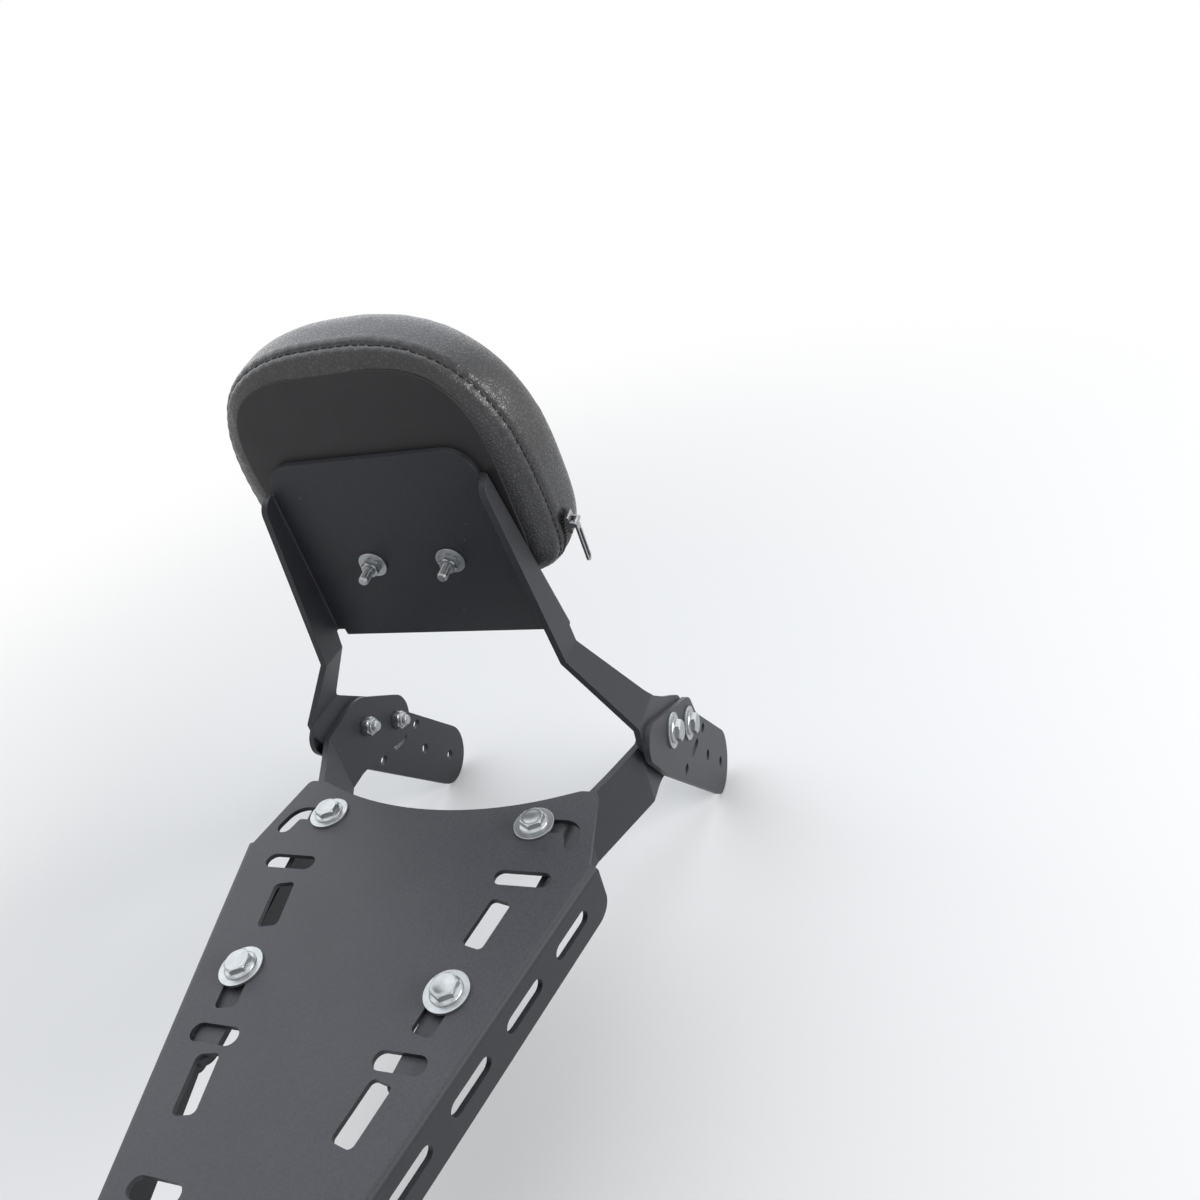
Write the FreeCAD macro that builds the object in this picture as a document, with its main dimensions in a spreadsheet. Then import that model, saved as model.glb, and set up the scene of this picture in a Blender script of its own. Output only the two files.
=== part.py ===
import FreeCAD, Part
import Sketcher
import math
import os

# Motorbike backrest with a luggage rack: a folded upright carries the pad, two legs carry the
# folded rack deck, and two fender brackets clamp both to the bike with shared bolts.
# Bodies are drawn in the deck frame: X right, Y forward, Z up, zero at the middle of the two
# front deck bolts on top of the deck. A common Placement then moves the zero to the middle of
# the upper fender bolt line, where the part is fixed to the bike.

SIZES = [
    ("plate", 4, "sheet of the upright, the legs and the fender brackets"),
    ("deck_sheet", 3, "sheet of the rack deck"),
    ("fold_radius", 1.2, "inside radius of every fold"),
    ("fold_room", 0.4, "flat strip left beside a fold's relief"),
    ("hole_play", 0.4, "radial room of a bolt in its hole"),
    ("thread_play", 0.05, "radial room of a bolt in its nut"),
    ("bracket_half", 124, "middle of the bike to the outer face of a fender bracket"),
    ("rear_bolt_y", 109, "rear clamp bolt, forward of the deck bolts"),
    ("rear_bolt_drop", 24, "rear clamp bolt, below the deck"),
    ("front_bolt_y", 143, "front clamp bolt, forward of the deck bolts"),
    ("front_bolt_drop", 47.5, "front clamp bolt, below the deck"),
    ("fender_hole_y", 172, "upper fender hole, forward of the deck bolts"),
    ("fender_hole_drop", 105, "upper fender hole, below the deck"),
    ("fender_pitch", 43.4, "upper to lower fender hole"),
    ("fender_hole_radius", 4.25, "fender bolt holes"),
    ("band_angle", 50, "slope of the fender bracket's lower band, degrees"),
    ("band_half", 25.5, "half the width of the fender bracket's lower band"),
    ("bracket_tail", 13, "radius of the bracket's rear corner"),
    ("bracket_tail_y", 33, "rear corner's centre behind the rear clamp bolt"),
    ("bracket_tail_rise", 19, "rear corner's centre above the rear clamp bolt"),
    ("bracket_belly_y", 22, "bend in the bracket's lower edge, behind the rear clamp bolt"),
    ("bracket_belly_drop", 20, "bend in the bracket's lower edge, below the rear clamp bolt"),
    ("bracket_blend", 20, "soft corners in the bracket's outline"),
    ("bracket_waist", 40, "start of the bracket's lower band, above the upper fender hole"),
    ("bracket_slot_width", 6, "width of the small slots in the bracket"),
    ("bracket_slot_short", 9, "length of the two short slots"),
    ("bracket_slot_long", 20, "length of the slot between them"),
    ("bracket_slot_tilt", 10, "fall of these slots, degrees"),
    ("bracket_slot_drop", 27, "middle slot below the front clamp bolt"),
    ("bracket_slot_y", 4, "middle slot in front of the front clamp bolt"),
    ("bracket_slot_pitch", 26.5, "spacing of these slots"),
    ("bracket_lobe", 18, "bracket edge round the front clamp bolt"),
    ("tab_round", 17, "upright tab edge round the front clamp bolt"),
    ("leg_round", 19.5, "leg edge round the front clamp bolt"),
    ("lean", 10, "backward lean of the upright, degrees"),
    ("stud_y", 79, "rear face of the upright at the studs"),
    ("stud_z", 133, "studs above the deck"),
    ("stud_half", 26.3, "middle to a stud"),
    ("panel_half", 77.8, "half the width of the upright at the studs"),
    ("panel_up", 74, "studs to the top edge of the upright"),
    ("panel_down", 60, "studs to the lower edge of the panel"),
    ("panel_corner", 18, "top corners of the upright"),
    ("splay", 6.8, "outward splay of the upright's arms, degrees"),
    ("flange_top", 14, "depth of the arm's flange at its top"),
    ("flange_knee", 27, "depth of the arm's flange at the knee"),
    ("knee_z", 67, "upper bend of the arms above the deck"),
    ("foot_z", 15, "lower bend of the arms above the deck"),
    ("relief", 5, "fold relief in the corners of sheets"),
    ("relief_corner", 1, "corners inside a fold relief"),
    ("flange_round", 9, "top corner of the arm's flange"),
    ("arm_blend", 20, "soft corners in the side outline of the arms"),
    ("tab_front", 11, "front edge of the arm's tab, forward of the knee"),
    ("tab_shoulder", 14, "rear edge of the tab turns below the lower bend"),
    ("tab_tail_y", 14, "lower rear corner of the tab, behind the rear clamp bolt"),
    ("tab_tail_drop", 30, "lower rear corner of the tab, below the rear clamp bolt"),
    ("deck_bolt_half", 69.75, "middle to a front deck bolt"),
    ("deck_bolt_pitch", 109, "front to rear deck bolts"),
    ("deck_bolt_taper", 4.28, "inward run of the deck bolts, degrees"),
    ("deck_nose_half", 101, "half the width of the deck's front corners"),
    ("deck_nose_y", 28, "front corners of the deck"),
    ("nose_flat", 11, "width of the deck's front corners"),
    ("nose_round", 4, "rounding of the deck's front corners"),
    ("scoop_land", 1, "straight run from a front corner into the hollow"),
    ("deck_scoop", 20, "depth of the hollow in the deck's front edge"),
    ("deck_half", 115.5, "half the width of the deck where its flanges start"),
    ("flange_start", 26, "flanges start behind the front deck bolts"),
    ("flange_end", 17, "flanges end before the deck's rear edge"),
    ("deck_taper", 15.4, "inward run of the deck's sides, degrees"),
    ("deck_back", 245, "rear edge of the deck behind its front bolts"),
    ("deck_corner", 14, "rear corners of the deck"),
    ("flange_drop", 34, "height of the deck's side flanges"),
    ("flange_corner", 11, "lower corners of the side flanges"),
    ("slot_width", 10, "width of the round-ended slots"),
    ("slot_elbow", 2, "inside radius of the corner slot's bend"),
    ("flange_slot", 30, "length of the slots in the side flanges"),
    ("flange_slot_first", 33, "first flange slot's middle from the flange's start"),
    ("flange_slot_pitch", 44, "spacing of the flange slots"),
    ("strap_slot", 30, "length of the square slots in the deck"),
    ("strap_width", 12.5, "width of the square slots in the deck"),
    ("strap_corner", 3, "corners of the square slots"),
    ("strap_tilt", 12, "turn of the square slots, degrees"),
    ("cross_one_half", 75.6, "middle of the first cross slot from the middle"),
    ("cross_one_back", 38, "first cross slot behind the front bolts"),
    ("cross_one_long", 33.6, "length of the first cross slot"),
    ("cross_two_half", 53, "middle of the second cross slot"),
    ("cross_two_back", 145.7, "second cross slot behind the front bolts"),
    ("cross_two_long", 28.4, "length of the second cross slot"),
    ("cross_three_half", 34, "middle of the third cross slot"),
    ("cross_three_back", 216, "third cross slot behind the front bolts"),
    ("strap_one_half", 66.3, "middle of the first square slot"),
    ("strap_one_back", 68, "first square slot behind the front bolts"),
    ("strap_two_back", 117, "second square slot, which takes the rear bolt"),
    ("strap_three_half", 46, "middle of the third square slot"),
    ("strap_three_back", 170, "third square slot behind the front bolts"),
    ("corner_slot_run", 27, "cross leg of the corner slots, from the bolt outward"),
    ("corner_slot_back", 20, "angled leg of the corner slots"),
    ("leg_bend_y", 70, "front bend of a leg"),
    ("web_bend_y", 18, "rear bend of a leg"),
    ("web_half", 92.2, "middle to the leg's web at its rear bend"),
    ("web_toe", 7.7, "inward run of the web, degrees"),
    ("web_drop", 40, "lower edge of the web below the deck at its front"),
    ("web_tail", 20, "lower edge of the web below the deck at its rear"),
    ("neck_drop", 50, "lower edge of the leg's neck below the deck"),
    ("tab_inner", 8.5, "tabs of the legs inside the deck bolt line"),
    ("front_tab", 27, "length of a leg's front tab"),
    ("rear_tab", 65, "length of a leg's rear tab"),
    ("tab_corner", 6, "inner corners of the tabs of the legs"),
    ("web_corner", 8, "lower rear corner of the web"),
    ("web_run", 60, "rise of the web's lower edge, behind the rear bend"),
    ("leg_blend", 30, "soft corners in the side outline of the legs"),
    ("neck_back", 22, "lower edge of the neck ends behind the rear clamp bolt"),
    ("leg_hump", 30, "upper corner of the leg behind the front clamp bolt"),
    ("neck_top", 25, "upper edge of the neck starts behind the front bend"),
    ("leg_back", 159, "rear end of the leg behind the front bolts"),
    ("pad_half", 95, "half the width of the pad"),
    ("pad_up", 135, "studs to the top of the pad"),
    ("pad_down", 26, "studs to the bottom of the pad"),
    ("pad_depth", 56, "depth of the pad"),
    ("pad_crown", 9, "rise of the pad's top edge at the middle"),
    ("crown_radius", 190, "radius of the pad's top edge"),
    ("pad_shoulder", 76, "radius of the pad's shoulders"),
    ("pad_foot", 30, "radius of the pad's lower corners"),
    ("pad_front_round", 24, "rounding of the pad's front edge"),
    ("pad_back_round", 12, "rounding of the pad's back edge"),
    ("back_inset", 13, "pad's outline to the edge of its back panel"),
    ("back_sheet", 2, "thickness of the pad's back panel"),
    ("board_inset", 15, "pad's outline to the edge of the base board"),
    ("board_thick", 9, "thickness of the base board"),
    ("zip_inset", 15.5, "back of the pad to the middle of the zip"),
    ("zip_wide", 6, "width of the zip's teeth"),
    ("zip_proud", 1.4, "zip's teeth stand proud of the pad"),
    ("zip_up", 12, "upper ends of the zip above the studs"),
    ("slider_long", 11, "length of the zip slider"),
    ("slider_wide", 8, "width of the zip slider"),
    ("slider_thick", 2.6, "thickness of the zip slider on the teeth"),
    ("bail_radius", 0.9, "radius of the slider's crossbar"),
    ("ear_wall", 0.6, "metal of the slider's ears round the crossbar"),
    ("bail_rise", 2.4, "crossbar's axis above the slider's face"),
    ("pull_play", 0.06, "radial room of the zip pull on the crossbar"),
    ("pull_long", 29, "length of the zip pull"),
    ("pull_wide", 5.2, "width of the zip pull"),
    ("pull_thick", 1.4, "thickness of the zip pull"),
    ("pull_head", 4, "solid head of the pull below its crossbar"),
    ("pull_rim", 1.2, "rim of the zip pull's loop"),
    ("clamp_thread", 4, "radius of the clamp and deck bolts"),
    ("clamp_flats", 13, "across the flats of the M8 heads and nuts"),
    ("clamp_head", 5.4, "height of the M8 heads"),
    ("nut_collar", 2, "height of the lock nut's collar"),
    ("clamp_nut", 8, "height of the M8 nuts"),
    ("clamp_flange", 8.6, "radius of the flange under a head"),
    ("clamp_flange_thick", 1.5, "thickness of that flange"),
    ("clamp_washer", 12, "radius of the large washers"),
    ("clamp_washer_thick", 1.8, "thickness of the large washers"),
    ("clamp_past_nut", 3, "clamp bolt end beyond its nut"),
    ("stud_thread", 3, "radius of the pad's studs"),
    ("stud_flats", 10, "across the flats of the stud nuts"),
    ("stud_nut", 5, "height of the stud nuts"),
    ("stud_washer", 9, "radius of the stud washers"),
    ("stud_washer_thick", 1.6, "thickness of the stud washers"),
    ("stud_past_nut", 10, "stud end beyond its nut"),
    ("bevel", 0.8, "bevel on bolt heads, nuts and bolt ends"),
]

doc = FreeCAD.newDocument("backrest_with_rack")
sheet = doc.addObject("Spreadsheet::Sheet", "Sizes")
for row, (alias, number, meaning) in enumerate(SIZES, start=1):
    sheet.set(f"A{row}", alias)
    sheet.set(f"B{row}", str(number))
    sheet.set(f"C{row}", meaning)
    sheet.setAlias(f"B{row}", alias)
doc.recompute()

nodes = []


def size(alias):
    return float(sheet.get(alias))


def bound(alias):
    return "Sizes." + alias


def tan(alias):
    return math.tan(math.radians(size(alias)))


# Drawing helpers

def mirrored(corners):
    """The same outline on the other side of the middle, still walked anticlockwise."""
    return [(-corner[0], *corner[1:]) for corner in reversed(corners)]


def run_direction(start, end):
    """Direction of the tangent line that leaves one round and meets the next."""
    across = end[0] - start[0]
    along = end[1] - start[1]
    start_round = start[2] if len(start) == 4 else 0
    end_round = end[2] if len(end) == 4 else 0
    turn = math.asin((start_round - end_round) / math.hypot(across, along))
    return math.atan2(along, across) + turn


def draw(sketch, corners):
    """Adds a closed anticlockwise outline to a sketch.

    (x, y, radius) is a corner with a fillet; (x, y, radius, "round") is an arc about x, y.
    """
    count = len(corners)
    heading = [run_direction(corners[i], corners[(i + 1) % count]) for i in range(count)]
    stops = []
    for i, corner in enumerate(corners):
        arriving = heading[i - 1]
        leaving = heading[i]
        turn = math.remainder(leaving - arriving, 2 * math.pi)
        centre_x = corner[0]
        centre_y = corner[1]
        radius = corner[2]
        if len(corner) == 3:
            side = math.copysign(radius, turn)
            back = abs(radius * math.tan(turn / 2))
            centre_x += -back * math.cos(arriving) - side * math.sin(arriving)
            centre_y += -back * math.sin(arriving) + side * math.cos(arriving)
            radius = side
        points = []
        for angle in (arriving, arriving + turn / 2, leaving):
            points.append(FreeCAD.Vector(centre_x + radius * math.sin(angle),
                                         centre_y - radius * math.cos(angle), 0))
        stops.append(points)
    for i, (begin, middle, end) in enumerate(stops):
        if begin.distanceToPoint(end) > 1e-6:
            sketch.addGeometry(Part.Arc(begin, middle, end))
        following = stops[(i + 1) % count][0]
        if end.distanceToPoint(following) > 1e-6:
            sketch.addGeometry(Part.LineSegment(end, following))


def folded_strip(points, thickness, inside, ends=0):
    """Outline of a folded sheet: its left face follows points, the other face lies to the right."""
    left = []
    right = []
    last = len(points) - 1
    for i, (x, y) in enumerate(points):
        before = points[max(i - 1, 0)]
        after = points[min(i + 1, last)]
        arriving = math.atan2(y - before[1], x - before[0]) if i else None
        leaving = math.atan2(after[1] - y, after[0] - x) if i < last else arriving
        arriving = leaving if arriving is None else arriving
        middle = (arriving + leaving) / 2
        reach = thickness / math.cos((leaving - arriving) / 2)
        near = inside if leaving > arriving else inside + thickness
        far = inside + thickness if leaving > arriving else inside
        left.append((x, y, near if 0 < i < last else ends))
        right.append((x + reach * math.sin(middle), y - reach * math.cos(middle),
                      far if 0 < i < last else ends))
    return right + left[::-1]


def slot_outline(x, y, length, width, tilt_degrees=0, radius=None):
    """Slot about x, y whose length lies along the first axis, turned anticlockwise by tilt."""
    radius = width / 2 if radius is None else radius
    cosine = math.cos(math.radians(tilt_degrees))
    sine = math.sin(math.radians(tilt_degrees))
    corners = []
    for along, across in ((-1, -1), (1, -1), (1, 1), (-1, 1)):
        run = along * length / 2
        rise = across * width / 2
        corners.append((x + run * cosine - rise * sine, y + run * sine + rise * cosine, radius))
    return corners


def frame_outline(corners, margin=120):
    """Rectangle that clears an outline, to cut away all that lies outside it."""
    low_x = min(corner[0] for corner in corners) - margin
    high_x = max(corner[0] for corner in corners) + margin
    low_y = min(corner[1] for corner in corners) - margin
    high_y = max(corner[1] for corner in corners) + margin
    return [(low_x, low_y, 0), (high_x, low_y, 0), (high_x, high_y, 0), (low_x, high_y, 0)]


# Feature helpers

def new_body(label):
    body = doc.addObject("PartDesign::Body", label)
    body.Label = label
    return body


def finish_node(node):
    """Moves a sub-part from the deck frame to the frame of the upper fender bolts."""
    node.setExpression("Placement.Base.y", "-" + bound("fender_hole_y"))
    node.setExpression("Placement.Base.z", bound("fender_hole_drop"))
    nodes.append(node)
    return node


def sketch_on(body, role, outlines, offset=FreeCAD.Placement()):
    plane = next(item for item in body.Origin.OriginFeatures if item.Role == role)
    sketch = body.newObject("Sketcher::SketchObject", body.Label + "_sketch")
    sketch.AttachmentSupport = [(plane, "")]
    sketch.MapMode = "FlatFace"
    sketch.AttachmentOffset = offset
    for corners in outlines:
        draw(sketch, corners)
    return sketch


def circles_on(body, role, centres, radius, offset=FreeCAD.Placement()):
    """Sketch of equal circles whose radii are bound to one size."""
    sketch = sketch_on(body, role, [], offset)
    for x, y in centres:
        index = sketch.addGeometry(Part.Circle(FreeCAD.Vector(x, y, 0), FreeCAD.Vector(0, 0, 1), 1))
        constraint = sketch.addConstraint(Sketcher.Constraint("Radius", index, 1))
        sketch.setExpression(f"Constraints[{constraint}]", radius)
        sketch.addConstraint(Sketcher.Constraint("DistanceX", -1, 1, index, 3, x))
        sketch.addConstraint(Sketcher.Constraint("DistanceY", -1, 1, index, 3, y))
    return sketch


def pad(body, sketch, length, backward=False, both_ways=False):
    feature = body.newObject("PartDesign::Pad", body.Label + "_pad")
    feature.Profile = sketch
    feature.setExpression("Length", length)
    feature.Reversed = backward
    feature.SideType = "Symmetric" if both_ways else "One side"
    return feature


def cut_through(body, sketch):
    """Cuts a sketch right through the body, both ways."""
    doc.recompute()
    before = body.Shape.Volume
    feature = body.newObject("PartDesign::Pocket", body.Label + "_pocket")
    feature.Profile = sketch
    feature.Type = "ThroughAll"
    feature.SideType = "Symmetric"
    doc.recompute()
    if body.Shape.Volume >= before:
        raise RuntimeError(f"{sketch.Label} cut nothing from {body.Label}")
    return feature


def round_edges(body, radius, wanted):
    """Fillets the edges of the body's last feature whose middles pass the test wanted."""
    doc.recompute()
    base = body.Tip
    names = []
    for index, edge in enumerate(base.Shape.Edges, start=1):
        middle = edge.valueAt((edge.FirstParameter + edge.LastParameter) / 2)
        if wanted(edge, middle):
            names.append(f"Edge{index}")
    if not names:
        raise RuntimeError(f"no edge to round on {body.Label}")
    fillet = body.newObject("PartDesign::Fillet", body.Label + "_fillet")
    fillet.Base = (base, names)
    fillet.setExpression("Radius", radius)
    doc.recompute()
    if "Invalid" in fillet.State:
        raise RuntimeError(f"{body.Label}: {fillet.getStatusString()}, fillet of {radius}")
    return fillet


# Places that several sub-parts share

plate = size("plate")
clamp_bolts = [(size("rear_bolt_y"), -size("rear_bolt_drop")),
               (size("front_bolt_y"), -size("front_bolt_drop"))]
bracket_outer = size("bracket_half")
tab_outer = bracket_outer - plate
lobe_outer = tab_outer - plate
lobe_inner = lobe_outer - plate
band = math.radians(size("band_angle"))
fender_upper = (size("fender_hole_y"), -size("fender_hole_drop"))
fender_lower = (fender_upper[0] + size("fender_pitch") * math.cos(band),
                fender_upper[1] - size("fender_pitch") * math.sin(band))
deck_under = -size("deck_sheet")
rear_bolt_half = size("deck_bolt_half") - size("deck_bolt_pitch") * tan("deck_bolt_taper")
deck_bolts = []
for side in (1, -1):
    deck_bolts.append((side * size("deck_bolt_half"), 0))
    deck_bolts.append((side * rear_bolt_half, -size("deck_bolt_pitch")))
lean = math.radians(size("lean"))
upright_plane = FreeCAD.Placement(FreeCAD.Vector(0, size("stud_z"), -size("stud_y")),
                                  FreeCAD.Rotation(FreeCAD.Vector(1, 0, 0), size("lean")))
stud_places = [(size("stud_half"), 0), (-size("stud_half"), 0)]


def upright_point(x, up, forward):
    """Deck-frame point from a place on the upright's rear face and a distance in front of it."""
    return FreeCAD.Vector(x,
                          size("stud_y") - up * math.sin(lean) + forward * math.cos(lean),
                          size("stud_z") + up * math.cos(lean) + forward * math.sin(lean))


def upright_offset(forward):
    """Sketch plane parallel to the upright, forward of its rear face."""
    return upright_plane.multiply(FreeCAD.Placement(FreeCAD.Vector(0, 0, -forward),
                                                    FreeCAD.Rotation()))


def front_face_y(z):
    """Front face of the upright's panel at a height above the deck."""
    return size("stud_y") + (size("stud_z") - z) * math.tan(lean) + plate / math.cos(lean)


# Upright

def arm_half(z):
    """Outer face of the upright's arm at a height above the knee."""
    return size("panel_half") + (size("stud_z") - z) * tan("splay")


def beside(up, forward, *radius):
    """Side-view corner from a distance up the upright and in front of its rear face."""
    point = upright_point(0, up, forward)
    return (point.y, point.z, *radius)


def upright():
    body = new_body("backrest_upright")
    knee = size("knee_z")
    foot = size("foot_z")
    fold = plate + size("fold_radius") + size("fold_room")
    arm_up = size("panel_up") - size("panel_corner")
    arm_down = size("relief") - size("panel_down")
    top = beside(arm_up, plate)[1] + plate
    lowest = clamp_bolts[1][1] - size("tab_round")
    arm = folded_strip([(arm_half(top), top), (arm_half(knee), knee), (tab_outer, foot),
                        (tab_outer, lowest)], plate, size("fold_radius"))
    pad(body, sketch_on(body, "XZ_Plane", [arm, mirrored(arm)]),
        "Sizes.front_bolt_y + Sizes.tab_round", backward=True)
    knee_front = beside(arm_down, plate - fold)[0]
    knee_rear = knee_front + fold - size("flange_knee")
    blend = size("arm_blend")
    profile = [
        beside(arm_up, plate - size("flange_top"), size("flange_round")),
        (knee_rear, knee, blend),
        (knee_rear, foot - size("tab_shoulder"), blend),
        (clamp_bolts[0][0] - size("tab_tail_y"), clamp_bolts[0][1] - size("tab_tail_drop"), blend),
        (*clamp_bolts[1], size("tab_round"), "round"),
        (knee_front + size("tab_front"), foot, blend),
        (knee_front, knee, blend),
        beside(arm_down, plate - fold, 0),
        beside(arm_down, plate, 0),
        beside(arm_up, plate, 0),
    ]
    cut_through(body, sketch_on(body, "YZ_Plane", [frame_outline(profile), profile]))

    def half(up):
        return arm_half(size("stud_z") + up * math.cos(lean))

    notch = half(arm_down) - plate - size("relief")
    right = [
        (notch, -size("panel_down"), 0),
        (notch, arm_down, 0),
        (half(arm_down) - plate / 2, arm_down, 0),
        (half(arm_up) - plate / 2, arm_up, 0),
        (half(arm_up) - fold, arm_up, 0),
        (half(size("panel_up")) - fold, size("panel_up"), size("panel_corner") - size("relief_corner")),
    ]
    pad(body, sketch_on(body, "XZ_Plane", [right + mirrored(right)], upright_plane), bound("plate"),
        backward=True)
    slant = math.cos(math.radians(size("splay")))
    for radius, back, inward in (("Sizes.fold_radius", plate / math.cos(lean), plate / slant),
                                 ("Sizes.fold_radius + Sizes.plate", 0, 0)):
        round_edges(body, radius, lambda edge, middle: (
            edge.Length > size("panel_down") and abs(front_face_y(middle.z) - back - middle.y) < 0.1
            and abs(abs(middle.x) - arm_half(middle.z) + inward) < 0.1))
    circles = circles_on(body, "XZ_Plane", stud_places, "Sizes.stud_thread + Sizes.hole_play",
                         upright_plane)
    cut_through(body, circles)
    holes = circles_on(body, "YZ_Plane", clamp_bolts, "Sizes.clamp_thread + Sizes.hole_play")
    cut_through(body, holes)
    finish_node(body)


# Fender brackets

def fender_bracket(side, label):
    body = new_body(label)
    along = FreeCAD.Vector(math.cos(band), -math.sin(band), 0)
    across = FreeCAD.Vector(math.sin(band), math.cos(band), 0)
    rear_y, rear_z = clamp_bolts[0]
    front_y, front_z = clamp_bolts[1]
    waist = (FreeCAD.Vector(*fender_upper, 0) + across * size("band_half")
             - along * size("bracket_waist"))
    blend = size("bracket_blend")
    profile = [
        (rear_y - size("bracket_tail_y"), rear_z + size("bracket_tail_rise"), size("bracket_tail"), "round"),
        (rear_y - size("bracket_belly_y"), rear_z - size("bracket_belly_drop"), 2 * blend),
        (*fender_lower, size("band_half"), "round"),
        (waist.x, waist.y, blend),
        (front_y, front_z, size("bracket_lobe"), "round"),
    ]
    inner = side * tab_outer if side > 0 else -bracket_outer
    offset = FreeCAD.Placement(FreeCAD.Vector(0, 0, inner), FreeCAD.Rotation())
    pad(body, sketch_on(body, "YZ_Plane", [profile], offset), bound("plate"))
    slots = []
    for step, length in ((-1, size("bracket_slot_short")), (0, size("bracket_slot_long")),
                         (1, size("bracket_slot_short"))):
        slot_y = front_y + size("bracket_slot_y") + step * size("bracket_slot_pitch")
        fall = size("bracket_slot_drop") + step * size("bracket_slot_pitch") * tan("bracket_slot_tilt")
        slots.append(slot_outline(slot_y, front_z - fall, length, size("bracket_slot_width"),
                                  -size("bracket_slot_tilt")))
    cut_through(body, sketch_on(body, "YZ_Plane", slots))
    cut_through(body, circles_on(body, "YZ_Plane", clamp_bolts,
                                 "Sizes.clamp_thread + Sizes.hole_play"))
    cut_through(body, circles_on(body, "YZ_Plane", [fender_upper, fender_lower],
                                 bound("fender_hole_radius")))
    finish_node(body)


# Legs

def web_face(y):
    """Outer face of a leg's web beside a place along the deck."""
    return size("web_half") + (y - size("web_bend_y")) * tan("web_toe")


def bolt_line(y):
    """Deck bolts' distance from the middle beside a place along the deck."""
    return size("deck_bolt_half") + y * tan("deck_bolt_taper")


def rack_leg(side, label):
    """Leg from the clamp bolts to the deck: a bent web with two tabs folded in under the deck."""
    body = new_body(label)
    rear = -size("leg_back")
    front_y, front_z = clamp_bolts[1]
    plan = folded_strip([(lobe_outer, front_y + size("leg_round")), (lobe_outer, size("leg_bend_y")),
                         (web_face(size("web_bend_y")), size("web_bend_y")),
                         (web_face(rear - plate), rear - plate)], plate, size("fold_radius"))
    plan = plan if side > 0 else mirrored(plan)
    pad(body, sketch_on(body, "XY_Plane", [plan]), "2 * (Sizes.front_bolt_drop + Sizes.leg_round)",
        both_ways=True)
    notch_low = deck_under - plate - size("fold_radius") - size("fold_room")
    blend = size("leg_blend")
    tabs = [(rear, rear + size("rear_tab")), (-size("front_tab") / 2, size("front_tab") / 2)]
    profile = [
        (rear, deck_under, 0),
        (rear, -size("web_tail"), size("web_corner")),
        (size("web_bend_y") - size("web_run"), -size("web_drop"), blend),
        (size("web_bend_y"), -size("neck_drop"), blend),
        (clamp_bolts[0][0] - size("neck_back"), -size("neck_drop"), blend),
        (front_y, front_z, size("leg_round"), "round"),
        (front_y - size("leg_hump"), 0, blend),
        (size("leg_bend_y") - size("neck_top"), deck_under, blend),
        (tabs[1][1] + size("relief"), deck_under, size("relief_corner")),
    ]
    for start, end in reversed(tabs):
        profile += [(end + size("relief"), notch_low, size("relief_corner")), (end, notch_low, 0),
                    (end, deck_under, 0), (start, deck_under, 0), (start, notch_low, 0)]
    del profile[-2:]
    cut_through(body, sketch_on(body, "YZ_Plane", [frame_outline(profile), profile]))
    outlines = []
    for start, end in tabs:
        tab = [
            (bolt_line(end) - size("tab_inner"), end, size("tab_corner")),
            (bolt_line(start) - size("tab_inner"), start, size("tab_corner")),
            (web_face(start), start, 0),
            (web_face(end), end, 0),
        ]
        outlines.append(tab if side > 0 else mirrored(tab))
    top = FreeCAD.Placement(FreeCAD.Vector(0, 0, deck_under), FreeCAD.Rotation())
    pad(body, sketch_on(body, "XY_Plane", outlines, top), bound("plate"), backward=True)
    slant = math.cos(math.radians(size("web_toe")))
    for radius, height, inward in (("Sizes.fold_radius", deck_under - plate, plate / slant),
                                   ("Sizes.fold_radius + Sizes.plate", deck_under, 0)):
        round_edges(body, radius, lambda edge, middle: (
            abs(middle.z - height) < 0.01 and edge.Length > size("front_tab") * 0.9
            and middle.y < tabs[1][1]
            and abs(abs(middle.x) - web_face(middle.y) + inward) < 0.1))
    holes = [place for place in deck_bolts if place[0] * side > 0]
    cut_through(body, circles_on(body, "XY_Plane", holes, "Sizes.clamp_thread + Sizes.hole_play"))
    cut_through(body, circles_on(body, "YZ_Plane", clamp_bolts,
                                 "Sizes.clamp_thread + Sizes.hole_play"))
    finish_node(body)


# Rack deck

def deck_side(y):
    """Outer face of the deck's side flange beside a place along the deck."""
    return size("deck_half") + (y + size("flange_start")) * tan("deck_taper")


def flange_ends():
    """Front and rear ends of the deck's side flanges."""
    return -size("flange_start"), size("flange_end") - size("deck_back")


def deck_outline():
    nose_inner = size("deck_nose_half") - size("nose_flat")
    nose_y = size("deck_nose_y")
    scoop = size("deck_scoop")
    half_chord = nose_inner - size("scoop_land")
    scoop_radius = (half_chord ** 2 + scoop ** 2) / (2 * scoop)
    back = -size("deck_back")
    start, end = flange_ends()
    fold = size("deck_sheet") + size("fold_radius") + size("fold_room")
    right = [
        (deck_side(back) - fold, back, size("deck_corner")),
        (deck_side(end) - fold, end, 0),
        (deck_side(end), end, 0),
        (deck_side(start), start, 0),
        (deck_side(start) - fold, start, 0),
        (size("deck_nose_half"), nose_y, size("nose_round")),
        (nose_inner, nose_y, size("nose_round")),
    ]
    return right + [(0, nose_y - scoop + scoop_radius, -scoop_radius, "round")] + mirrored(right)


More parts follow.
